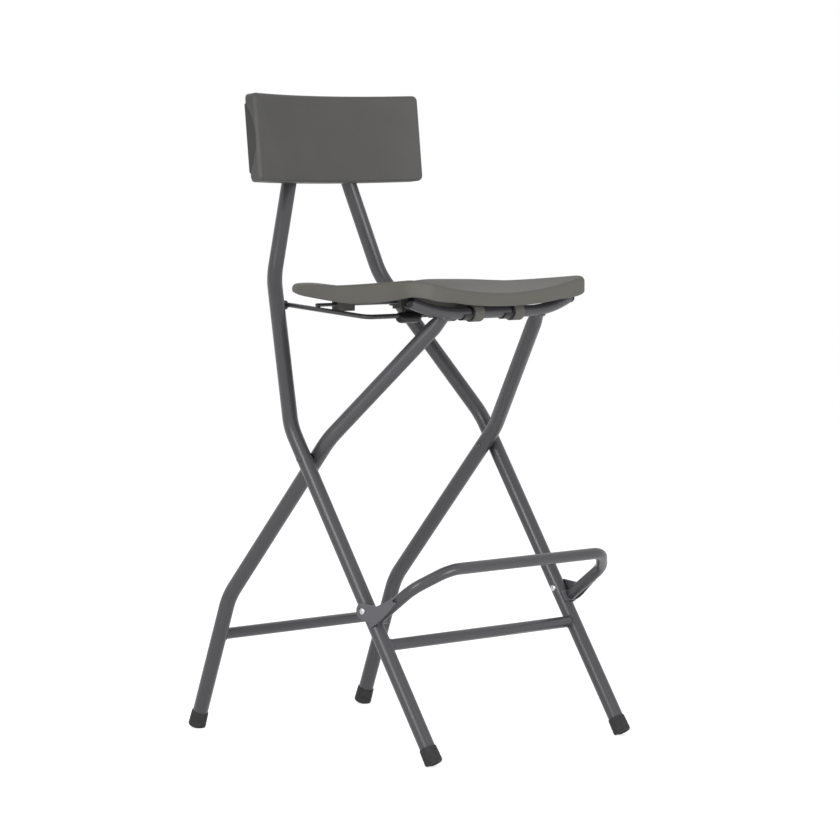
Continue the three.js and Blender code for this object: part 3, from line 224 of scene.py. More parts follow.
def eased_ends(points, directions, radius, ease, steps=4):
    """Adds rings at both ends of a line so that the tube's end edges are quarter rounds: the
    radius falls by ease * (1 - cos a) while the ring moves out by ease * sin a."""
    sine, fallen = quarter_turn(steps)
    out, fall = ease * (sine - 1), ease * fallen
    head = points[0] - directions[0] * out[::-1, None]
    tail = points[-1] + directions[-1] * out[:, None]
    count = steps + 1
    points = np.concatenate([head, points[1:-1], tail])
    directions = np.concatenate([
        np.repeat(directions[:1], count, 0), directions[1:-1], np.repeat(directions[-1:], count, 0)])
    radii = np.concatenate([radius - fall[::-1], np.full(len(points) - 2 * count, radius), radius - fall])
    return points, directions, radii


def softened(corners, radius, steps=4, closed=False, most=0.48):
    """A line of 2-D corners with each corner drawn round: (1-t)^2 * before + 2t(1-t) * corner
    + t^2 * after. Before and after lie a radius away along the two runs, or at most this share
    of a run."""
    corners = np.array(corners, float)
    to_before, to_after = np.roll(corners, 1, 0) - corners, np.roll(corners, -1, 0) - corners
    start, end = (corners + unit(run) * np.minimum(np.linalg.norm(run, axis=1) * most, radius)[:, None]
                  for run in (to_before, to_after))
    t = np.linspace(0, 1, steps + 1)[None, :, None]
    arcs = (1 - t) ** 2 * start[:, None] + 2 * t * (1 - t) * corners[:, None] + t ** 2 * end[:, None]
    if closed:
        return arcs.reshape(-1, 2)
    return np.concatenate([corners[:1], arcs[1:-1].reshape(-1, 2), corners[-1:]])


# Surfaces: (points, faces)

def closed_rings(rings, loop=False):
    """Quads between neighbouring rings. The first and last ring are closed by a fan to their
    middle, or joined to each other where the rings make a loop."""
    count, around = rings.shape[:2]
    index = np.arange(count * around).reshape(count, around)
    if loop:
        index = np.concatenate([index, index[:1]])
    a, b = index[:-1], np.roll(index[:-1], -1, 1)
    d, c = index[1:], np.roll(index[1:], -1, 1)
    faces = np.stack([a, b, c, d], -1).reshape(-1, 4).tolist()
    points = rings.reshape(-1, 3)
    if not loop:
        points = np.concatenate([points, rings[[0, -1]].mean(1)])
        head, tail = index[0], index[-1]
        first = np.full(around, count * around)
        faces += np.stack([first, np.roll(head, -1), head], -1).tolist()
        faces += np.stack([first + 1, tail, np.roll(tail, -1)], -1).tolist()
    return points, faces


def tube(corners, radii, radius, sides=40, steps=20, ease=TUBE_EASE):
    """A round tube along a bent line, with eased ends."""
    line = eased_ends(*bent_line(corners, radii, steps), radius, ease)
    return closed_rings(ring_surface(*line, sides))


def turned(profile, origin, axis, sides, loop=False):
    """A profile of (radius, height) pairs turned about an axis through origin."""
    profile, axis = np.array(profile, float), unit(axis)
    points = np.asarray(origin, float) + profile[:, 1:] * axis
    directions = np.repeat(axis[None], len(points), 0)
    return closed_rings(ring_surface(points, directions, profile[:, 0], sides), loop=loop)


def slab(loops, near, far):
    """Flat 2-D loops, the first an outline and the others holes, filled on two planes and walled
    between. The functions near and far carry 2-D points to the two planes."""
    flat = np.concatenate([np.asarray(loop, float) for loop in loops])
    count = len(flat)
    fill = np.array(tessellate_polygon([[Vector((p[0], p[1], 0)) for p in loop] for loop in loops]))
    faces = fill.tolist() + (fill[:, ::-1] + count).tolist()
    start = 0
    for loop in loops:
        index = start + np.arange(len(loop))
        follow = np.roll(index, -1)
        faces += np.stack([index, follow, follow + count, index + count], -1).tolist()
        start += len(loop)
    return np.concatenate([near(flat), far(flat)]), faces


def plate(loops, x1, x2):
    """A flat plate across X between x1 and x2: side-view loops of (y, z) points."""
    def at_x(x):
        return lambda flat: np.column_stack([np.full(len(flat), x), flat])

    return slab(loops, at_x(x1), at_x(x2))


def weld_bead(curve, outward, radius, sides=10, ripple=0.12, waves=16, slow_waves=7):
    """A bead along a closed curve: a small ring, its radius rippled by two sines, whose first
    axis is the direction away from the joint."""
    along = unit(np.roll(curve, -1, 0) - np.roll(curve, 1, 0))
    first = unit(outward - along * np.sum(outward * along, -1, keepdims=True))
    step = all_round(len(curve))
    size = radius * (1 + ripple * (np.sin(waves * step) + np.sin(slow_waves * step + 1) / 2))
    return closed_rings(rings_about(curve, first, np.cross(along, first), size, sides), loop=True)


def run_to_rod(start, way, rod_point, rod_axis, rod_radius):
    """Points moved along a direction until their distance from a rod's axis is its radius: the
    nearer root of the quadratic in the reach."""
    offset = start - rod_point
    across = offset - (offset @ rod_axis)[:, None] * rod_axis
    step = way - (way @ rod_axis) * rod_axis
    a, b = step @ step, 2 * across @ step
    c = np.sum(across ** 2, -1) - rod_radius ** 2
    reach = (-b - np.sqrt(np.maximum(b ** 2 - 4 * a * c, 0))) / (2 * a)
    return start + reach[:, None] * way


def weld_spot(at, along, radius, half_length, rings, sides):
    """A long spot of weld: radius * sqrt(1 - t^2) along its length, blunt at the tips."""
    height = np.linspace(-1, 1, rings)
    profile = np.column_stack([radius * np.sqrt(np.maximum(1 - height ** 2, 0.01)), half_length * height])
    return turned(profile, at, along, sides)


def mirrored(surface):
    """The same surface on the other side of the stool."""
    points, faces = surface
    return points * (-1, 1, 1), [face[::-1] for face in faces]


# Making pieces

def new_object(name, data):
    """A new object in the scene."""
    thing = bpy.data.objects.new(name, data)
    bpy.context.scene.collection.objects.link(thing)
    return thing


def make_piece(name, body, finish, surfaces, node, edge=0.0, crease=35):
    """One visible piece for a node: its surfaces in metres with their faces turned outwards,
    smooth but for edges over the crease angle. A bevel eases those edges where edge is given."""
    slot, material = finish
    points, faces = [], []
    for surface_points, surface_faces in surfaces:
        base = sum(len(p) for p in points)
        points.append(surface_points)
        faces += [[base + i for i in face] for face in surface_faces]
    mesh = bpy.data.meshes.new(name)
    mesh.from_pydata((np.concatenate(points) * MM).tolist(), [], faces)
    mesh.validate()
    shape = bmesh.new()
    shape.from_mesh(mesh)
    bmesh.ops.recalc_face_normals(shape, faces=shape.faces)
    shape.to_mesh(mesh)
    shape.free()
    mesh.materials.append(material)
    mesh.shade_smooth()
    mesh.set_sharp_from_angle(angle=math.radians(crease))
    piece = new_object(name, mesh)
    if edge:
        bevel = piece.modifiers.new("eased edges", "BEVEL")
        bevel.width = edge * MM
        bevel.segments = 3
        bevel.limit_method = "ANGLE"
        bevel.angle_limit = math.radians(crease)
        bevel.harden_normals = True
    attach(piece, body)
    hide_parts(node)


def make_pair(name, body, finish, surfaces, node, **ease):
    """A piece drawn on the sitter's left, and its mirror image on the right."""
    for sign, side in SIDES:
        drawn = surfaces if sign > 0 else [mirrored(surface) for surface in surfaces]
        make_piece(f"{name}_{side}", body, finish, drawn, f"{node}_{side}", **ease)


# Finishes: (the record's slot, material)

def linear(hex_colour):
    """A written colour in the renderer's linear light."""
    channels = np.array([int(hex_colour[i:i + 2], 16) for i in (0, 2, 4)]) / 255
    low, high = channels / 12.92, ((channels + 0.055) / 1.055) ** 2.4
    return (*np.where(channels <= 0.04045, low, high), 1.0)


def set_inputs(node, **values):
    """Gives a node's inputs their values. An underscore stands for a space in an input's name."""
    for socket, value in values.items():
        node.inputs[socket.replace("_", " ")].default_value = value
    return node


class Finish:
    """A material on Object coordinates: colours, roughness and relief come from noise."""

    def __init__(self, name, roughness, specular=0.5, metallic=0.0):
        self.material = bpy.data.materials.new(name)
        self.material.use_nodes = True
        self.nodes = self.material.node_tree.nodes
        self.links = self.material.node_tree.links
        self.shader = set_inputs(self.nodes["Principled BSDF"], Metallic=metallic, Roughness=roughness,
                                 Specular_IOR_Level=specular)
        self.place = self.nodes.new("ShaderNodeTexCoord").outputs["Object"]
        self.relief = None

    def noise(self, scale, detail=2.0, rough=0.5, stretch=None):
        """Noise with this many cells in a metre, stretched along the axes where asked."""
        place = self.place
        if stretch:
            mapping = set_inputs(self.nodes.new("ShaderNodeMapping"), Scale=stretch)
            self.links.new(place, mapping.inputs["Vector"])
            place = mapping.outputs["Vector"]
        node = set_inputs(self.nodes.new("ShaderNodeTexNoise"), Scale=scale, Detail=detail, Roughness=rough)
        self.links.new(place, node.inputs["Vector"])
        return node.outputs["Fac"]

    def ranged(self, value, low, high, to_low=0.0, to_high=1.0):
        """A value between low and high carried to another range."""
        node = set_inputs(self.nodes.new("ShaderNodeMapRange"), From_Min=low, From_Max=high,
                          To_Min=to_low, To_Max=to_high)
        self.links.new(value, node.inputs["Value"])
        return node.outputs["Result"]

    def colour(self, value, low, high, dark, light):
        """The base colour runs from dark to light as a value goes from low to high."""
        node = self.nodes.new("ShaderNodeMix")
        node.data_type = "RGBA"
        set_inputs(node, A=linear(dark), B=linear(light))
        self.links.new(self.ranged(value, low, high), node.inputs["Factor"])
        self.links.new(node.outputs["Result"], self.shader.inputs["Base Color"])

    def roughen(self, value, smooth, rough):
        """Roughness runs from smooth to rough as a value goes from 0.3 to 0.7."""
        self.links.new(self.ranged(value, 0.3, 0.7, smooth, rough), self.shader.inputs["Roughness"])

    def bump(self, height, depth, strength):
        """Relief of this depth in millimetres, laid over any relief that is already there."""
        node = set_inputs(self.nodes.new("ShaderNodeBump"), Distance=depth * MM, Strength=strength)
        self.links.new(height, node.inputs["Height"])
        if self.relief:
            self.links.new(self.relief, node.inputs["Normal"])
        self.relief = node.outputs["Normal"]
        self.links.new(self.relief, self.shader.inputs["Normal"])


def powder_coat(name, dark, light):
    """Satin powder coat on steel: a soft orange-peel relief, a fine fleck and a slow drift."""
    finish = Finish(name, 0.33)
    drift, peel, fleck = finish.noise(9.0, 3), finish.noise(650.0, 2), finish.noise(3200.0, 1)
    finish.colour(fleck, 0.25, 0.75, dark, light)
    finish.roughen(drift, 0.29, 0.37)
    finish.bump(peel, 0.10, 0.35)
    finish.bump(fleck, 0.02, 0.25)
    return "frame_paint", finish.material


def moulded_plastic(slot, name, dark, light, roughness, specular):
    """Moulded plastic with a fine spark-eroded grain and slow changes of tone from the mould."""
    finish = Finish(name, roughness, specular)
    drift, grain, pits = finish.noise(7.0, 3), finish.noise(1500.0, 3, 0.6), finish.noise(420.0, 2)
    finish.colour(drift, 0.3, 0.7, dark, light)
    finish.roughen(pits, roughness - 0.05, roughness + 0.07)
    finish.bump(grain, 0.05, 0.5)
    finish.bump(pits, 0.06, 0.25)
    return slot, finish.material


def foot_rubber():
    """Black rubber with a dull bloom that is patchy at the scale of a fingertip."""
    finish = Finish("foot rubber", 0.75, 0.35)
    bloom = finish.noise(120.0, 4, 0.6)
    finish.colour(bloom, 0.35, 0.7, "212122", "3a393b")
    finish.roughen(bloom, 0.62, 0.85)
    finish.bump(finish.noise(1100.0, 3, 0.6), 0.08, 0.5)
    return "foot_rubber", finish.material


def black_plastic():
    """Black moulded plastic with a low sheen and a fine grain."""
    finish = Finish("black plastic", 0.4, 0.35)
    tone = finish.noise(90.0, 3)
    finish.colour(tone, 0.3, 0.7, "121213", "1c1c1e")
    finish.roughen(tone, 0.32, 0.46)
    finish.bump(finish.noise(1300.0, 2), 0.04, 0.4)
    return "black_plastic", finish.material


def bright_steel():
    """Zinc-plated steel: metal with fine rubbed lines and cloudy patches of roughness."""
    finish = Finish("bright steel", 0.28, metallic=1.0)
    cloud, lines = finish.noise(260.0, 3), finish.noise(900.0, 2, stretch=(1.0, 6.0, 1.0))
    finish.colour(cloud, 0.3, 0.7, "a9abae", "cfd1d3")
    finish.roughen(cloud, 0.2, 0.38)
    finish.bump(lines, 0.02, 0.3)
    return "bright_steel", finish.material


PAINT = powder_coat("tube powder coat", "3a393d", "464549")
# Painted light: the bracket's sheet gets a lighter copy of the same frame paint, for the light its flat faces
# catch.
LIT_SHEET_PAINT = powder_coat("sheet powder coat painted lighter", "515055", "616065")
SHELL = moulded_plastic("shell_plastic", "seat plastic", "605f5a", "686762", 0.56, 0.12)
# Painted shade: the backrest gets a darker copy of the seat's plastic, for the shade its face stands in.
SHADED_BACKREST_PLASTIC = moulded_plastic("shell_plastic", "backrest plastic painted darker", "494847", "504f4e", 0.52, 0.4)
COVER = moulded_plastic("cover_plastic", "rear cover plastic", "353433", "3e3d3c", 0.55, 0.4)
RUBBER = foot_rubber()
BLACK = black_plastic()
BRIGHT = bright_steel()


# Places worked out from the frame's lines

def foot_line(x, floor_y, knee):
    """Where a tilted foot cap's sole has its middle, so that its low edge is cut flat on the
    floor, and the leg's direction there."""
    floor = np.array([x, floor_y, 0.0])
    direction = unit(np.array(knee) - floor)
    lift = ((CAP_R - CAP_CHAMFER) * abs(direction[1]) - CAP_FLAT) / direction[2]
    return floor + direction * lift, direction


def at_height(low, high, z):
    """The point of a straight run at a height."""
    low, high = np.asarray(low, float), np.asarray(high, float)
    return low + (high - low) * (z - low[2]) / (high[2] - low[2])


front_sole, front_way = foot_line(LEG_X, FRONT_FLOOR_Y, KNEE)
rear_sole, rear_way = foot_line(SEAT_LEG_X, REAR_FLOOR_Y, REAR_KNEE)
footrest_pivot = at_height(front_sole, KNEE, FOOTREST_PIVOT_Z)
wire_pivot = at_height(KNEE, SHOULDER, WIRE_PIVOT_Z)
upright_way = unit(np.subtract(UPRIGHT_TOP, SHOULDER))
upright_lean = math.atan2(upright_way[1], upright_way[2])


def crossing_point():
    """Where the two legs cross in the side view."""
    a, da = front_sole[1:], np.array(KNEE[1:]) - front_sole[1:]
    b, db = np.array(REAR_KNEE[1:]), np.subtract(HIP[1:], REAR_KNEE[1:])
    share = ((b[0] - a[0]) * db[1] - (b[1] - a[1]) * db[0]) / (da[0] * db[1] - da[1] * db[0])
    return a + da * share


crossing = crossing_point()


# Frame tubes, crossbars and feet

def back_frame_tube():
    """The sitter's left tube: front foot, leg, knee, shoulder and upright."""
    start = front_sole + front_way * (CAP_FLOOR + GAP)
    return tube([start, KNEE, SHOULDER, UPRIGHT_TOP], [FRAME_BEND, FRAME_BEND], TUBE_R)


def bar_line(x):
    """The seat bar's middle line: straight in the middle, then back and up with the square of
    the way towards the tip. Returns points and directions."""
    span = BAR_HALF - BAR_STRAIGHT
    share = np.maximum(0, (np.abs(x) - BAR_STRAIGHT) / span)
    points = np.column_stack([x, BAR_Y + BAR_BACK * share ** 2, BAR_Z + BAR_RISE * share ** 2])
    slope = 2 * share / span * np.sign(x)
    return points, unit(np.column_stack([np.ones_like(x), BAR_BACK * slope, BAR_RISE * slope]))


arm_way = unit(np.subtract(ARM_TOP, HIP))
arm_front = unit(np.cross(arm_way, (1.0, 0.0, 0.0)))
bar_at_arm, bar_way_at_arm = (v[0] for v in bar_line(np.array([ARM_TOP[0]])))
arm_shift = (bar_at_arm - np.array(ARM_TOP)) @ arm_front


def seat_frame_tube(stretch_rings=14):
    """The sitter's left tube: rear foot, leg, knee, hip and arm. The arm's last stretch is
    pinched: a point's way from the tube's axis towards the front is multiplied by 1 - pinch * s
    and moved to the seat bar's middle, where s is 3t^2 - 2t^3 along the stretch."""
    start = rear_sole + rear_way * (CAP_FLOOR + GAP)
    end = np.array(ARM_TOP) + arm_way * ARM_OVERRUN
    points, directions = bent_line([start, REAR_KNEE, HIP, end], [FRAME_BEND, FRAME_BEND])
    stretch = end - arm_way * PINCH_LENGTH * np.linspace(1, 0, stretch_rings)[:, None]
    points = np.concatenate([points[:-1], stretch])
    directions = np.concatenate([directions[:-1], np.repeat(arm_way[None], stretch_rings, 0)])
    points, directions, radii = eased_ends(points, directions, TUBE_R, TUBE_EASE)
    rings = ring_surface(points, directions, radii, 40)
    share = smooth_step((points - end) @ arm_way / PINCH_LENGTH + 1)[:, None, None]
    ahead = ((rings - points[:, None]) @ arm_front)[..., None]
    return closed_rings(rings + (arm_shift - PINCH * ahead) * share * arm_front)


def smooth_step(share):
    """3t^2 - 2t^3, with t held between 0 and 1."""
    held = np.clip(share, 0, 1)
    return held ** 2 * (3 - 2 * held)


def arm_weld():
    """The bead where the pinched arm meets the seat bar: the arm's oval, run along the arm to
    the bar's surface."""
    angle = all_round(72)[:, None]
    side = np.cross(arm_front, arm_way)
    outward = np.cos(angle) * side + np.sin(angle) * arm_front * (1 - PINCH)
    start = np.array(ARM_TOP) + arm_shift * arm_front + TUBE_R * outward
    return weld_bead(run_to_rod(start, arm_way, bar_at_arm, bar_way_at_arm, BAR_R), outward, ARM_WELD)


def crossbar(low, high, z):
    """A straight bar at a height between a leg and its mirror image, with a weld bead where each
    end meets its leg: the bar's circle, run along the bar to the leg's surface."""
    at = at_height(low, high, z)
    reach = at[0] - CROSSBAR_SINK
    bar = tube([(-reach, at[1], at[2]), (reach, at[1], at[2])], [], BAR_R, ease=BAR_EASE)
    angle = all_round(64)
    outward = np.column_stack([np.zeros(64), np.cos(angle), np.sin(angle)])
    curve = run_to_rod(BAR_R * outward + (0.0, at[1], at[2]), np.array([1.0, 0.0, 0.0]), at,
                       unit(np.subtract(high, low)), TUBE_R)
    bead = weld_bead(curve, outward, CROSSBAR_WELD)
    return [bar, bead, mirrored(bead)]


def foot_cap(sole, way):
    """A rubber cap: a turned profile along the leg, pressed flat where it would pass the floor."""
    bore, cover = TUBE_R + CAP_BORE_GAP, CAP_HEIGHT - CAP_COVER
    profile = [CAP_MIDDLE, *((CAP_R + out, up) for out, up in CAP_OUTSIDE),
               (bore, CAP_HEIGHT), (bore, cover), (CAP_MIDDLE[0], cover)]
    points, faces = turned(softened(profile, CAP_ROUND), sole, way, 56)
    return np.column_stack([points[:, :2], np.maximum(points[:, 2], 0.0)]), faces


make_pair("back_frame", "root", PAINT, [back_frame_tube()], "back_frame_tube")
make_pair("front_foot", "root", RUBBER, [foot_cap(front_sole, front_way)], "front_foot_cap")
make_pair("seat_frame", "seat_frame", PAINT, [seat_frame_tube()], "seat_frame_tube")
make_pair("rear_foot", "seat_frame", RUBBER, [foot_cap(rear_sole, rear_way)], "rear_foot_cap")
make_piece("front_bar", "root", PAINT, crossbar(front_sole, KNEE, FRONT_BAR_Z), "front_crossbar")
make_piece("rear_bar", "seat_frame", PAINT, crossbar(rear_sole, REAR_KNEE, REAR_BAR_Z), "rear_crossbar")


# Rivets and washers

def domed_rivet(inner, outer, at):
    """A rivet along X with a domed head at each end. The dome stops a little before its pole."""
    angles = np.linspace(0, math.pi / 2 - RIVET_FLAT, 9)
    dome = [(RIVET_HEAD_R * math.cos(a), RIVET_RISE * math.sin(a)) for a in angles]
    profile = [*((r, inner - h) for r, h in dome[::-1]), (RIVET_R, inner), (RIVET_R, outer),
               *((r, outer + h) for r, h in dome)]
    return turned(profile, (0, at[0], at[1]), (1, 0, 0), 32)


def flat_washer(inner, outer, x1, x2, at):
    """A flat ring across X with eased edges."""
    section = softened([(inner, x1), (outer, x1), (outer, x2), (inner, x2)], WASHER_EASE, 3, closed=True)
    return turned(section, (0, at[0], at[1]), (1, 0, 0), 40, loop=True)


bracket_inner = LEG_X + TUBE_R + GAP
bracket_outer = bracket_inner + SHEET
make_pair("crossing_pin", "root", PAINT,
          [domed_rivet(SEAT_LEG_X - TUBE_R - GAP, LEG_X + TUBE_R + GAP, crossing)], "crossing_rivet")
make_pair("crossing_spacer", "root", BLACK,
          [flat_washer(RIVET_R + GAP, WASHER_R, SEAT_LEG_X + TUBE_R + GAP, LEG_X - TUBE_R - GAP, crossing)],
          "crossing_washer")
make_pair("footrest_pin", "root", BRIGHT,
          [domed_rivet(LEG_X - TUBE_R - GAP, bracket_outer + GAP, footrest_pivot[1:])], "footrest_rivet")


# Seat bar and its plugs

def seat_bar():
    """The curved bar under the seat's front."""
    x = np.concatenate([np.linspace(-BAR_HALF, -BAR_STRAIGHT, 25), np.linspace(BAR_STRAIGHT, BAR_HALF, 25)])
    return closed_rings(ring_surface(*eased_ends(*bar_line(x), BAR_R, BAR_EASE), 40))


def bar_plug():
    """A plug in the bar's end: a round-edged flange, a groove and a dome inside it."""
    tip, way = (v[0] for v in bar_line(np.array([BAR_HALF])))
    rim = [(BAR_R + out, up) for out, up in PLUG_RIM]
    dome = [((BAR_R - PLUG_DOME_INSET) * math.cos(a), PLUG_DOME_FOOT + PLUG_DOME_RISE * math.sin(a))
            for a in np.linspace(*PLUG_DOME_ARC, 12)]
    return turned(rim + dome, tip, way, 40)


make_piece("seat_bar_tube", "seat_frame", PAINT, [seat_bar(), arm_weld(), mirrored(arm_weld())], "seat_bar")
make_pair("bar_plug", "seat_frame", BLACK, [bar_plug()], "seat_bar_plug")


# Footrest

leg_up = unit(front_way[1:])
leg_ahead = np.array([-leg_up[1], leg_up[0]])


def near_leg(along, ahead):
    """A side-view point given along the front leg from the footrest's pivot and ahead of it."""
    return footrest_pivot[1:] + along * leg_up + ahead * leg_ahead


web_face = TUBE_R + GAP + SHEET
arm_x = bracket_inner - GAP - BAR_R
bracket_low = -ARM_DROP - BAR_R
arm_start, arm_bend = near_leg(-ARM_DROP, web_face + ARM_SETBACK), near_leg(-BEND_DROP, BEND_REACH)


def footrest_bar():
    """The U-bar: each arm leaves its bracket, bends inwards and up, and bends again into the
    crosspiece."""
    bend_x = arm_x - ARM_INSET
    half = np.array([(arm_x, *arm_start), (bend_x, *arm_bend),
                     (bend_x - CORNER_INSET, arm_bend[0] - CORNER_FORWARD, arm_bend[1] + CORNER_RISE)])
    return tube([*half, *(half[::-1] * (-1, 1, 1))], [FOOTREST_BEND] * 4, BAR_R, steps=18)


def tangent_angle(point, radius, side):
    """The direction from a circle's middle to where the tangent from an outside point touches."""
    return math.atan2(point[1], point[0]) + side * math.acos(radius / math.hypot(*point))


def footrest_plate():
    """The bracket's outline: a round ear on the rivet, an upper edge down to the arm, a nose
    along the arm, and a lower edge back to the ear. It has a hole for the rivet."""
    shoulder, heel = (-SHOULDER_DROP, SHOULDER_REACH), (bracket_low, web_face)
    rim = softened([shoulder, (-NOSE_DROP, NOSE_REACH), (-NOSE_DROP - NOSE_DEPTH, NOSE_REACH),
                    (bracket_low, TOE_REACH), heel], RIM_ROUND)
    start, end = tangent_angle(heel, EAR_R, 1), tangent_angle(shoulder, EAR_R, -1)
    ear = circle((0, 0), EAR_R, start + (end - start) % (2 * np.pi) * np.linspace(0, 1, 33))
    hole = circle((0, 0), RIVET_R + GAP, all_round(24))
    loops = [near_leg(loop[:, :1], loop[:, 1:]) for loop in (np.concatenate([rim, ear]), hole)]
    return plate(loops, bracket_inner, bracket_outer)


def footrest_web():
    """The strip that wraps over the leg's front in a bend of the sheet: in the plan it is one
    sheet thick and carried round a quarter circle into the plate, a little inside its face."""
    turn = np.linspace(0, np.pi / 2, 7)
    centre = (bracket_outer - WEB_BEND, web_face - WEB_BEND)
    far_x = bracket_inner - WEB_INSET
    plan = np.concatenate([
        [(bracket_outer, WEB_START)], circle(centre, WEB_BEND, turn), [(far_x, web_face)],
        [(far_x, web_face - SHEET)], circle(centre, WEB_BEND - SHEET, turn)[::-1],
        [(bracket_inner, WEB_START)]]) - (WEB_SINK, 0)

    def at_leg(along):
        return lambda flat: np.column_stack([flat[:, 0], near_leg(along, flat[:, 1:])])

    return slab([plan], at_leg(bracket_low), at_leg(-WEB_TOP))


def nose_welds():
    """Two spots of weld where the bracket's nose ends on the footrest's arm."""
    along_arm = (0.0, *(arm_bend - near_leg(-ARM_DROP, web_face)))
    return [weld_spot((bracket_inner + SPOT_INSET, *near_leg(drop, NOSE_REACH - SPOT_SETBACK)), along_arm,
                      SPOT_R, SPOT_HALF, 13, 18)
            for drop in (-NOSE_DROP - SPOT_INSET, -NOSE_DROP - NOSE_DEPTH + SPOT_INSET)]


make_piece("footrest_tube", "footrest", PAINT, [footrest_bar()], "footrest_bar")
# The bracket wears the lighter copy of the frame paint: painted light on the sheet.
make_pair("bracket", "footrest", LIT_SHEET_PAINT, [footrest_plate(), footrest_web(), *nose_welds()],
          "footrest_bracket", edge=0.5)


# Wire support

slant_way = unit(np.subtract(SHOULDER, KNEE))
bush_face = wire_pivot[0] - TUBE_R / math.sqrt(1 - slant_way[0] ** 2)


def wire_support():
    """The bent wire: stubs in the uprights, arms forwards and a crosspiece at the front."""
    half = np.array([(bush_face + STUB_DEPTH, *wire_pivot[1:]), (WIRE_ARM_X, *wire_pivot[1:]), WIRE_FRONT])
    corners = [*(half * (-1, 1, 1)), *half[::-1]]
    return tube(corners, [WIRE_ELBOW, WIRE_BEND, WIRE_BEND, WIRE_ELBOW], WIRE_R, 24, 14, WIRE_EASE)


def on_wire_arm(y):
    """The wire arm's middle line at a depth y."""
    share = (wire_pivot[1] - y) / (wire_pivot[1] - WIRE_FRONT[1])
    x = WIRE_ARM_X + (WIRE_FRONT[0] - WIRE_ARM_X) * share
    return np.array([x, y, wire_pivot[2] + (WIRE_FRONT[2] - wire_pivot[2]) * share])


cross_at = on_wire_arm(CROSS_WIRE_Y)
cross_z = cross_at[2] + WIRE_R + CROSS_WIRE_R + GAP


def cross_wire():
    """The thin wire over both arms, with a small weld blob on each arm."""
    half = cross_at[0] + WIRE_R
    wire = tube([(-half, CROSS_WIRE_Y, cross_z), (half, CROSS_WIRE_Y, cross_z)], [], CROSS_WIRE_R, 20,
                ease=WIRE_EASE)
    blob = weld_spot(cross_at + (0, 0, WIRE_R), (0.0, 1.0, 0.0), BLOB_R, BLOB_HALF, 11, 20)
    return [wire, blob, mirrored(blob)]


def wire_bush():
    """A collared sleeve in the upright: a turned ring about the wire's end."""
    inner = WIRE_R + GAP
    sleeve, collar = inner + BUSH_SLEEVE, inner + BUSH_COLLAR
    corners = [(inner, COLLAR_FROM), (collar, COLLAR_FROM), (collar, COLLAR_TO), (sleeve, COLLAR_TO),
               (sleeve, SLEEVE_TO), (inner, SLEEVE_TO)]
    section = softened(np.add(corners, (0, bush_face)), WIRE_EASE, 3, closed=True)
    return turned(section, (0, *wire_pivot[1:]), (1, 0, 0), 36, loop=True)


def wire_bearing(x):
    """A drop-shaped block round the crosspiece: two circles and the lines that touch both. At
    its ends the outline is drawn in towards the bore by a quarter ellipse."""
    y, z = WIRE_FRONT[1:]
    top = WIRE_R + GAP + BEARING_WALL
    tilt = math.asin((BULB_R - top) / BULB_DROP)
    upper, lower = np.linspace(tilt, np.pi - tilt, 17), np.linspace(np.pi - tilt, 2 * np.pi + tilt, 33)
    outline = np.concatenate([circle((y, z), top, upper), circle((y, z - BULB_DROP), BULB_R, lower)])
    bore = (WIRE_R + GAP) * unit(outline - (y, z)) + (y, z)
    sine, fallen = quarter_turn(8)
    share, inset = BEARING_END + (1 - BEARING_END) * sine, BEARING_EASE * fallen
    half = BEARING_WIDTH / 2
    place = np.concatenate([x - half + inset, (x + half - inset)[::-1], [x + half, x - half]])
    share = np.concatenate([share, share[::-1], [0.0, 0.0]])[:, None, None]
    flat = bore + (outline - bore) * share
    place = np.broadcast_to(place[:, None, None], (*flat.shape[:2], 1))
    return closed_rings(np.concatenate([place, flat], -1), loop=True)


make_piece("wire_frame", "wire", PAINT, [wire_support()], "wire_support")
make_piece("thin_wire", "wire", PAINT, cross_wire(), "cross_wire")
make_pair("bush", "root", BLACK, [wire_bush()], "wire_bush")
make_pair("bearing", "wire", BLACK, [wire_bearing(BEARING_X)], "wire_bearing")


# Seat shell

seat_mid = (SEAT_FRONT_Y + SEAT_REAR_Y) / 2
seat_depth = (SEAT_REAR_Y - SEAT_FRONT_Y) / 2


def seat_top(x, y):
    """Height of the seat's face. A middle line rises with the square of the way to the front and
    rear edges, and the sides rise towards the front with a power. Between them the height
    follows the square of the way across, and at the rear a step that leaves a dip in the middle."""
    across = np.minimum(np.abs(x) / SEAT_HALF, 1)
    along = (y - seat_mid) / seat_depth
    behind = np.maximum(along, 0) ** 2
    middle = (SEAT_CENTRE_Z + (SEAT_FRONT_Z - SEAT_CENTRE_Z) * np.maximum(-along, 0) ** 2
              + (SEAT_BACK_Z - SEAT_CENTRE_Z) * behind)
    forward = np.maximum(SIDE_RISE_FROM - along, 0) / (SIDE_RISE_FROM + 1)
    side = SIDE_BACK_Z + (SIDE_FRONT_Z - SIDE_BACK_Z) * forward ** SIDE_RISE_POWER
    dip = smooth_step((np.abs(x) - REAR_DIP_HALF) / REAR_DIP_RISE)
    return middle + (side - middle) * (across ** 2 * (1 - behind) + dip * behind)


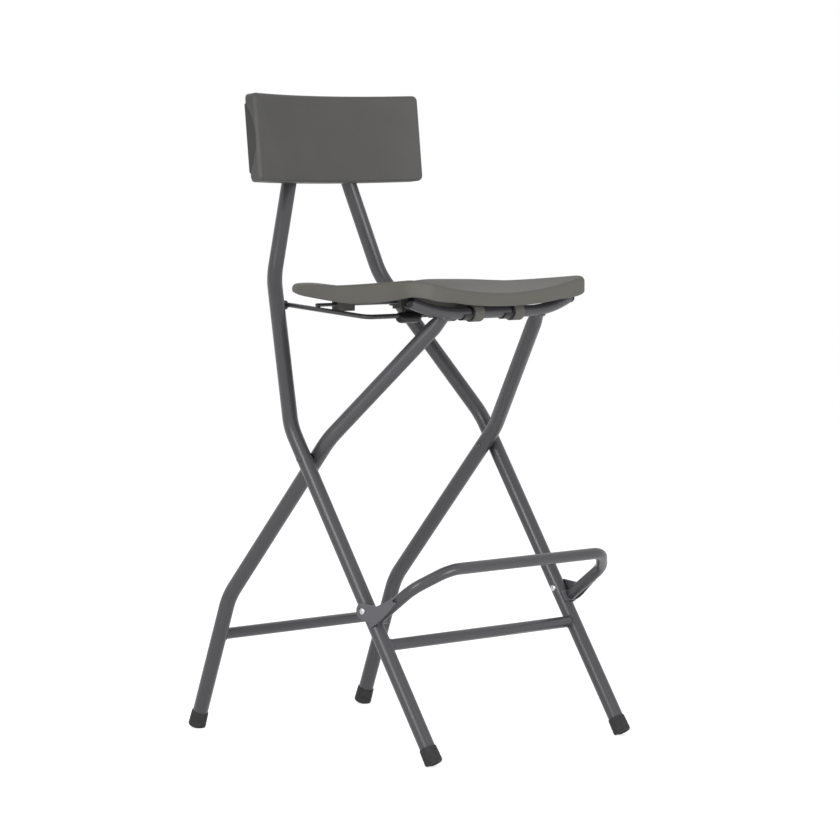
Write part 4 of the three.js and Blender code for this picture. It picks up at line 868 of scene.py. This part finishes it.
def seat_lip(x, y):
    """Height of the skirt's lower edge. The sides' edge rises to the front with the square of the
    way along and to the rear with a lower power, and the front's and the rear's edges rise with
    the square of the way across. It changes over with a high power of the way across."""
    across = np.minimum(np.abs(x) / SEAT_HALF, 1)
    along = (y - seat_mid) / seat_depth
    past = along - SIDE_LIP_LOW
    ahead = (FRONT_CORNER_LIP_Z - SIDE_LIP_Z) * (past / (1 + SIDE_LIP_LOW)) ** 2
    behind = (REAR_CORNER_LIP_Z - SIDE_LIP_Z) * (np.maximum(past, 0) / (1 - SIDE_LIP_LOW)) ** SIDE_LIP_POWER
    rise = np.where(past < 0, ahead, behind)
    front = LIP_Z + LIP_RISE * np.minimum(across / LIP_RISE_END, 1) ** 2
    rear = REAR_LIP_Z + (REAR_CORNER_LIP_Z - REAR_LIP_Z) * across ** 2
    share = across ** CORNER_POWER
    return np.where(along < 0, front, rear) * (1 - share) + (SIDE_LIP_Z + rise) * share


def rounded_loop(half, low, high, low_corner, high_corner, inset, arc=18, run=30):
    """A rectangle with round corners, set in by a distance, as one loop of points: an arc at
    each corner and even steps along each side."""
    x1, x2 = half - low_corner, half - high_corner
    y1, y2 = low + low_corner, high - high_corner
    corners = ((x1, y1, low_corner), (x2, y2, high_corner), (-x2, y2, high_corner), (-x1, y1, low_corner))
    angle = np.linspace(0, np.pi / 2, arc + 1)
    arcs = [circle((x, y), radius - inset, angle + (i - 1) * np.pi / 2)
            for i, (x, y, radius) in enumerate(corners)]
    share = np.linspace(0, 1, run + 1)[1:-1, None]
    sides = [a[-1] * (1 - share) + b[0] * share for a, b in zip(arcs, arcs[1:] + arcs[:1])]
    return np.concatenate([part for pair in zip(arcs, sides) for part in pair])


def moulded_shell(loop_at, face, lip, wall, skirt_wall, edge, middle, fill):
    """A tray-like shell in loops: from the middle of the face out to its edge, round the edge,
    down the skirt, round the lip, up inside and back to the middle. Loops within the face are
    the edge loop drawn in towards the middle."""
    def raised(flat, height):
        return np.concatenate([flat, height[..., None]], -1)

    crest, rim, inner = (loop_at(inset) for inset in (edge, 0.0, skirt_wall))
    shares = np.sin(np.linspace(0.02, np.pi / 2, fill))[:, None, None]
    spread, back = middle + (crest - middle) * shares, middle + (inner - middle) * shares[::-1]
    crest_z = face(crest[:, 0], crest[:, 1])
    lip_z, top_z, round_lip = lip(rim[:, 0], rim[:, 1]), crest_z - edge, skirt_wall * LIP_ROUND
    loops = [(edge * (1 - sine), crest_z - edge * fallen) for sine, fallen in zip(*quarter_turn(9))][1:]
    loops += [(0.0, top_z + (lip_z + round_lip - top_z) * share) for share in (0.33, 0.66)]
    quarter = list(zip(*quarter_turn(6)))
    loops += [(round_lip * fallen, lip_z + round_lip * (1 - sine)) for sine, fallen in quarter]
    loops += [(skirt_wall - round_lip * (1 - sine), lip_z + round_lip * fallen) for sine, fallen in quarter]
    return np.concatenate([raised(spread, face(spread[..., 0], spread[..., 1])),
                           *(raised(loop_at(inset), height)[None] for inset, height in loops),
                           raised(back, face(back[..., 0], back[..., 1]) - wall)])


def seat_loop(inset):
    """The seat's outline from above, set in by a distance. Its front edge bows forwards."""
    flat = rounded_loop(SEAT_HALF, SEAT_FRONT_Y, SEAT_REAR_Y, SEAT_FRONT_CORNER, SEAT_REAR_CORNER, inset)
    ahead = np.maximum(0, (seat_mid - flat[:, 1]) / seat_depth)
    return flat - np.column_stack([0 * ahead, SEAT_BOW * ahead * (1 - (flat[:, 0] / SEAT_HALF) ** 2)])


def seat_rib():
    """A moulded rib under the seat behind its bar, from the plate down to just over the height of
    the bar's middle line, a little thinner at its foot."""
    x = np.linspace(-RIB_HALF, RIB_HALF, 87)
    foot = bar_line(x)[0][:, 2] + RIB_OVER_BAR
    edges = [(y, seat_top(x, y) - SEAT_PLATE + RIB_SINK) for y in RIB_TOP] + [(y, foot) for y in RIB_FOOT]
    return closed_rings(np.stack([np.column_stack([x, np.full_like(x, y), z]) for y, z in edges], 1))


seat_rings = moulded_shell(seat_loop, seat_top, seat_lip, SEAT_PLATE, SKIRT_WALL, SEAT_EDGE,
                           (0, seat_mid), 34)
make_piece("seat_shell", "seat", SHELL, [closed_rings(seat_rings), seat_rib()], "seat_panel", crease=60)


# Seat fittings

def under_seat(x1, x2, y1, y2):
    """Height just under the seat plate over a rectangle."""
    x, y = np.meshgrid(np.linspace(x1, x2, 3), np.linspace(y1, y2, 3))
    return seat_top(x, y).min() - SEAT_PLATE - GAP


def seat_clip(x):
    """A strap round the bar's liner that widens to a neck and a flange under the seat. Returns
    it and the height under its flange."""
    x1, x2 = x - CLIP_HALF, x + CLIP_HALF
    y1, y2 = BAR_Y - CLIP_AHEAD, BAR_Y + CLIP_BEHIND
    neck1, neck2, spring = BAR_Y - CLIP_NECK, BAR_Y + CLIP_NECK, BAR_Z + CLIP_SPRING
    top = under_seat(x1, x2, y1, y2)
    under = top - FLANGE
    lift = math.asin(CLIP_NECK / CLIP_R)
    arc = circle((BAR_Y, BAR_Z), CLIP_R, np.linspace(np.pi / 2 + lift, 2 * np.pi + np.pi / 2 - lift, 49))
    upper = softened([(neck2, spring), (neck2, under), (y2, under), (y2, top), (y1, top), (y1, under),
                      (neck1, under), (neck1, spring)], CLIP_ROUND)
    bore = circle((BAR_Y, BAR_Z), LINER_R + GAP, all_round(40))
    return plate([np.concatenate([arc, upper[1:-1]]), bore], x1, x2), under


def clip_liner(x):
    """A dark sleeve on the seat bar inside the clip, with a black half-round tongue under the bar to the
    sitter's right of either clip. The sleeve is a real liner. The tongue is painted shade: a dark half shell
    laid where the bar's underside is in shade."""
    end, collar = x + LINER_END, x - LINER_COLLAR
    bore = BAR_R + GAP
    half_round = np.linspace(math.pi + SHADE_TONGUE_EDGE, 2 * math.pi - SHADE_TONGUE_EDGE, 33)
    outer, inner = (circle((BAR_Y, BAR_Z), radius, half_round) for radius in (LINER_R, bore))
    shade_tongue = plate([np.concatenate([outer, inner[::-1]])], end - SHADE_TONGUE, collar + SHADE_TONGUE_LAP)
    return [flat_washer(bore, LINER_R, collar, end, (BAR_Y, BAR_Z)), shade_tongue]


def seat_hook(x):
    """A moulded hook under the seat's rear that takes the thin wire. Returns it and the height
    under its flange."""
    x1, x2 = x - HOOK_HALF, x + HOOK_HALF
    half_slot = CROSS_WIRE_R + GAP
    slot1, slot2 = CROSS_WIRE_Y - half_slot, CROSS_WIRE_Y + half_slot
    rear, front, reach = slot2 + HOOK_REAR, CROSS_WIRE_Y - HOOK_AHEAD, CROSS_WIRE_Y - HOOK_REACH
    top = under_seat(x1, x2, reach, CROSS_WIRE_Y + CROSS_WIRE_R + HOOK_REAR)
    under, roof, foot = top - FLANGE, cross_z + half_slot, cross_z - HOOK_DROP
    outline = softened([
        (rear, foot), (rear, top), (reach, top), (reach, under), (front, under), (front, foot),
        (slot1 - HOOK_CATCH, foot), (slot1, cross_z), (slot1, roof), (slot2, roof), (slot2, foot)],
        HOOK_ROUND, closed=True)
    return plate([outline], x1, x2), under


def bearing_post(x):
    """A block under the seat behind each bearing, wider at its root."""
    x1, x2 = x - POST_WIDTH / 2, x + POST_WIDTH / 2
    y1 = WIRE_FRONT[1] + BULB_R + GAP
    y2, y3 = y1 + POST_DEPTH, y1 + 2 * POST_DEPTH
    top, foot = under_seat(x1, x2, y1, y3), WIRE_FRONT[2] - BULB_DROP - POST_LIFT
    return plate([softened([(y1, foot), (y2, foot), (y3, top), (y1, top)], POST_ROUND, closed=True)], x1, x2)


def screw_head(at, way, shank):
    """A pan-head screw: a low dome with a dimple, its flat face towards its work."""
    return turned(softened([*SCREW_PROFILE, (SCREW_R, shank)], SCREW_ROUND), at, way, 28)


clip, clip_under = seat_clip(CLIP_X)
hook, hook_under = seat_hook(HOOK_X)
make_pair("clip", "seat", SHELL, [clip], "seat_clip", edge=0.7)
make_pair("hook", "seat", SHELL, [hook], "seat_hook", edge=0.8)
make_pair("post", "seat", BLACK, [bearing_post(POST_X)], "bearing_post", edge=0.8)
for kind, *at in (("clip", CLIP_X, BAR_Y + CLIP_BEHIND - CLIP_SCREW_INSET, clip_under),
                  ("hook", HOOK_X, CROSS_WIRE_Y - HOOK_REACH + HOOK_SCREW_INSET, hook_under)):
    make_pair(f"{kind}_fixing", "seat", BRIGHT, [screw_head(at, (0, 0, 1), SEAT_SHANK)], f"{kind}_screw")
for sign, side in SIDES:
    make_piece(f"liner_{side}", "seat", BLACK, clip_liner(sign * CLIP_X), f"clip_liner_{side}")


# Backrest

back_up = np.array([0.0, math.sin(BACK_LEAN), math.cos(BACK_LEAN)])
back_ahead = np.array([0.0, -math.cos(BACK_LEAN), math.sin(BACK_LEAN)])
back_centre = np.array([0.0, BACK_FACE_Y, BACK_Z])


def stood_up(points):
    """From the backrest's own axes (x across, y up it, z towards the sitter) to the stool's."""
    x, y, z = points[..., :1], points[..., 1:2], points[..., 2:]
    return back_centre + x * (1, 0, 0) + y * back_up + z * back_ahead


def back_face(x, y=0.0):
    """The face is an arc across the width, hollow towards the sitter, and straight up it."""
    return BACK_CURVE - np.sqrt(BACK_CURVE ** 2 - x ** 2)


def back_lip(x, y):
    """The skirt's free edge, scooped towards the face at mid height of each end."""
    end_share = np.clip((np.abs(x) / BACK_HALF - SCOOP_FROM) / (1 - SCOOP_FROM), 0, 1)
    up_share = 1 - np.minimum(np.abs(y) / SCOOP_HALF, 1) ** 2
    return back_face(x) - BACK_SKIRT + BACK_SCOOP * np.minimum(end_share * SCOOP_GAIN, 1) * up_share


def back_loop(margin):
    """The backrest's outline less a margin, as a function of a further inset."""
    half, high = BACK_HALF - margin, BACK_HEIGHT / 2 - margin
    return lambda inset: rounded_loop(half, -high, high, BACK_CORNER, BACK_CORNER, inset, 12, 44)


lean_drift = BACK_HEIGHT / 2 * math.tan(abs(upright_lean - BACK_LEAN))
upright_behind = (at_height(SHOULDER, UPRIGHT_TOP, BACK_Z)[1] - BACK_FACE_Y) * math.cos(BACK_LEAN)
cover_depth = upright_behind + lean_drift + TUBE_R + GAP + COVER_WALL


def cover_rear(x, y=0.0):
    """The cover is flat behind the uprights and eases forwards, 3t^2 - 2t^3, to the ends. Above
    and below this plateau it steps forwards in the same way to a flange inside the panel's rim."""
    share = smooth_step((np.abs(x) - COVER_FLAT) / (BACK_HALF - COVER_FLAT))
    end = back_face(BACK_HALF) - COVER_END
    plateau = -cover_depth + (end + cover_depth) * share
    flange = back_face(x) - BACK_SKIRT + FLANGE_INSET
    return plateau + (flange - plateau) * smooth_step((np.abs(y) - PLATEAU_HALF) / PLATEAU_SLOPE)


back_rings = moulded_shell(back_loop(0.0), back_face, back_lip, BACK_WALL, BACK_WALL, BACK_EDGE, (0, 0), 24)
# The backrest shell wears the darker copy of the seat plastic: painted shade on its face.
make_piece("backrest_shell", "root", SHADED_BACKREST_PLASTIC, [closed_rings(stood_up(back_rings))], "backrest_panel", crease=60)

cover_rings = moulded_shell(back_loop(BACK_WALL + GAP), lambda x, y: -cover_rear(x, y),
                            lambda x, y: BACK_WALL + COVER_FRONT_GAP - back_face(x), COVER_WALL, COVER_WALL,
                            COVER_EDGE, (0, 0), 60)
make_piece("backrest_back", "root", COVER, [closed_rings(stood_up(cover_rings * (-1, 1, -1)))],
           "backrest_rear_cover", crease=60)

for step, level in ((-1, "lower"), (1, "upper")):
    on_upright = at_height(SHOULDER, UPRIGHT_TOP, BACK_Z + step * (BACK_HEIGHT / 2 - SCREW_INSET))
    height, depth = (on_upright - back_centre) @ back_up, cover_rear(on_upright[0]) - GAP
    behind_cover = np.array([on_upright[0], height, depth])
    make_pair(f"cover_fixing_{level}", "root", BRIGHT,
              [screw_head(stood_up(behind_cover), back_ahead, BACK_SHANK)], f"backrest_screw_{level}")


# Room, light and camera

def seen_directly(nodes, links):
    """One where the camera, a reflection or a view through glass meets the background."""
    path = nodes.new("ShaderNodeLightPath")
    seen = path.outputs["Is Camera Ray"]
    for kind in ("Is Glossy Ray", "Is Transmission Ray"):
        either = nodes.new("ShaderNodeMath")
        either.operation = "MAXIMUM"
        links.new(seen, either.inputs[0])
        links.new(path.outputs[kind], either.inputs[1])
        seen = either.outputs[0]
    return seen


def white_floor():
    """A pale floor with a glow, seen directly, that lifts it to white beside the stool's soft
    shadow."""
    material = bpy.data.materials.new("white floor")
    material.use_nodes = True
    nodes, links = material.node_tree.nodes, material.node_tree.links
    nodes.remove(nodes["Principled BSDF"])
    diffuse, glow = nodes.new("ShaderNodeBsdfDiffuse"), nodes.new("ShaderNodeEmission")
    add, level = nodes.new("ShaderNodeAddShader"), nodes.new("ShaderNodeMath")
    set_inputs(diffuse, Color=(FLOOR_TONE, FLOOR_TONE, FLOOR_TONE, 1))
    level.operation = "MULTIPLY"
    level.inputs[1].default_value = FLOOR_GLOW
    links.new(seen_directly(nodes, links), level.inputs[0])
    links.new(level.outputs[0], glow.inputs["Strength"])
    links.new(diffuse.outputs[0], add.inputs[0])
    links.new(glow.outputs[0], add.inputs[1])
    links.new(add.outputs[0], nodes["Material Output"].inputs["Surface"])
    mesh = bpy.data.meshes.new("floor")
    corners = [(x * FLOOR_REACH, y * FLOOR_REACH, 0) for x, y in ((-1, -1), (1, -1), (1, 1), (-1, 1))]
    mesh.from_pydata(corners, [], [(0, 1, 2, 3)])
    mesh.materials.append(material)
    new_object("floor", mesh)


def studio_world():
    """The world is a plain soft light, and white where it is seen directly."""
    world = bpy.data.worlds.new("studio")
    world.use_nodes = True
    nodes, links = world.node_tree.nodes, world.node_tree.links
    strength = set_inputs(nodes.new("ShaderNodeMapRange"), To_Min=WORLD_LEVEL, To_Max=1.0)
    background = set_inputs(nodes["Background"], Color=(1, 1, 1, 1))
    links.new(seen_directly(nodes, links), strength.inputs["Value"])
    links.new(strength.outputs["Result"], background.inputs["Strength"])
    bpy.context.scene.world = world


def placed(name, data, place, target):
    """A lamp or a camera at a place, looking at a target."""
    thing = new_object(name, data)
    thing.location = place
    thing.rotation_euler = (Vector(target) - Vector(place)).to_track_quat("-Z", "Y").to_euler()
    return thing


def softbox(name, place, size, watts):
    """A rectangular area lamp that looks at the seat's height."""
    light = bpy.data.lights.new(name, "AREA")
    light.shape = "RECTANGLE"
    light.size, light.size_y = size
    light.energy = watts
    placed(name, light, place, LAMP_TARGET)


def set_camera():
    """The camera stands where the photograph's perspective puts it."""
    camera = bpy.data.cameras.new("camera")
    camera.lens = CAMERA_LENS
    camera.sensor_width = CAMERA_SENSOR
    camera.sensor_fit = "HORIZONTAL"
    camera.clip_end = 100.0
    bpy.context.scene.camera = placed("camera", camera, CAMERA_PLACE, CAMERA_TARGET)


white_floor()
studio_world()
for lamp in LAMPS:
    softbox(*lamp)
set_camera()
bpy.context.scene.view_settings.view_transform = "Standard"
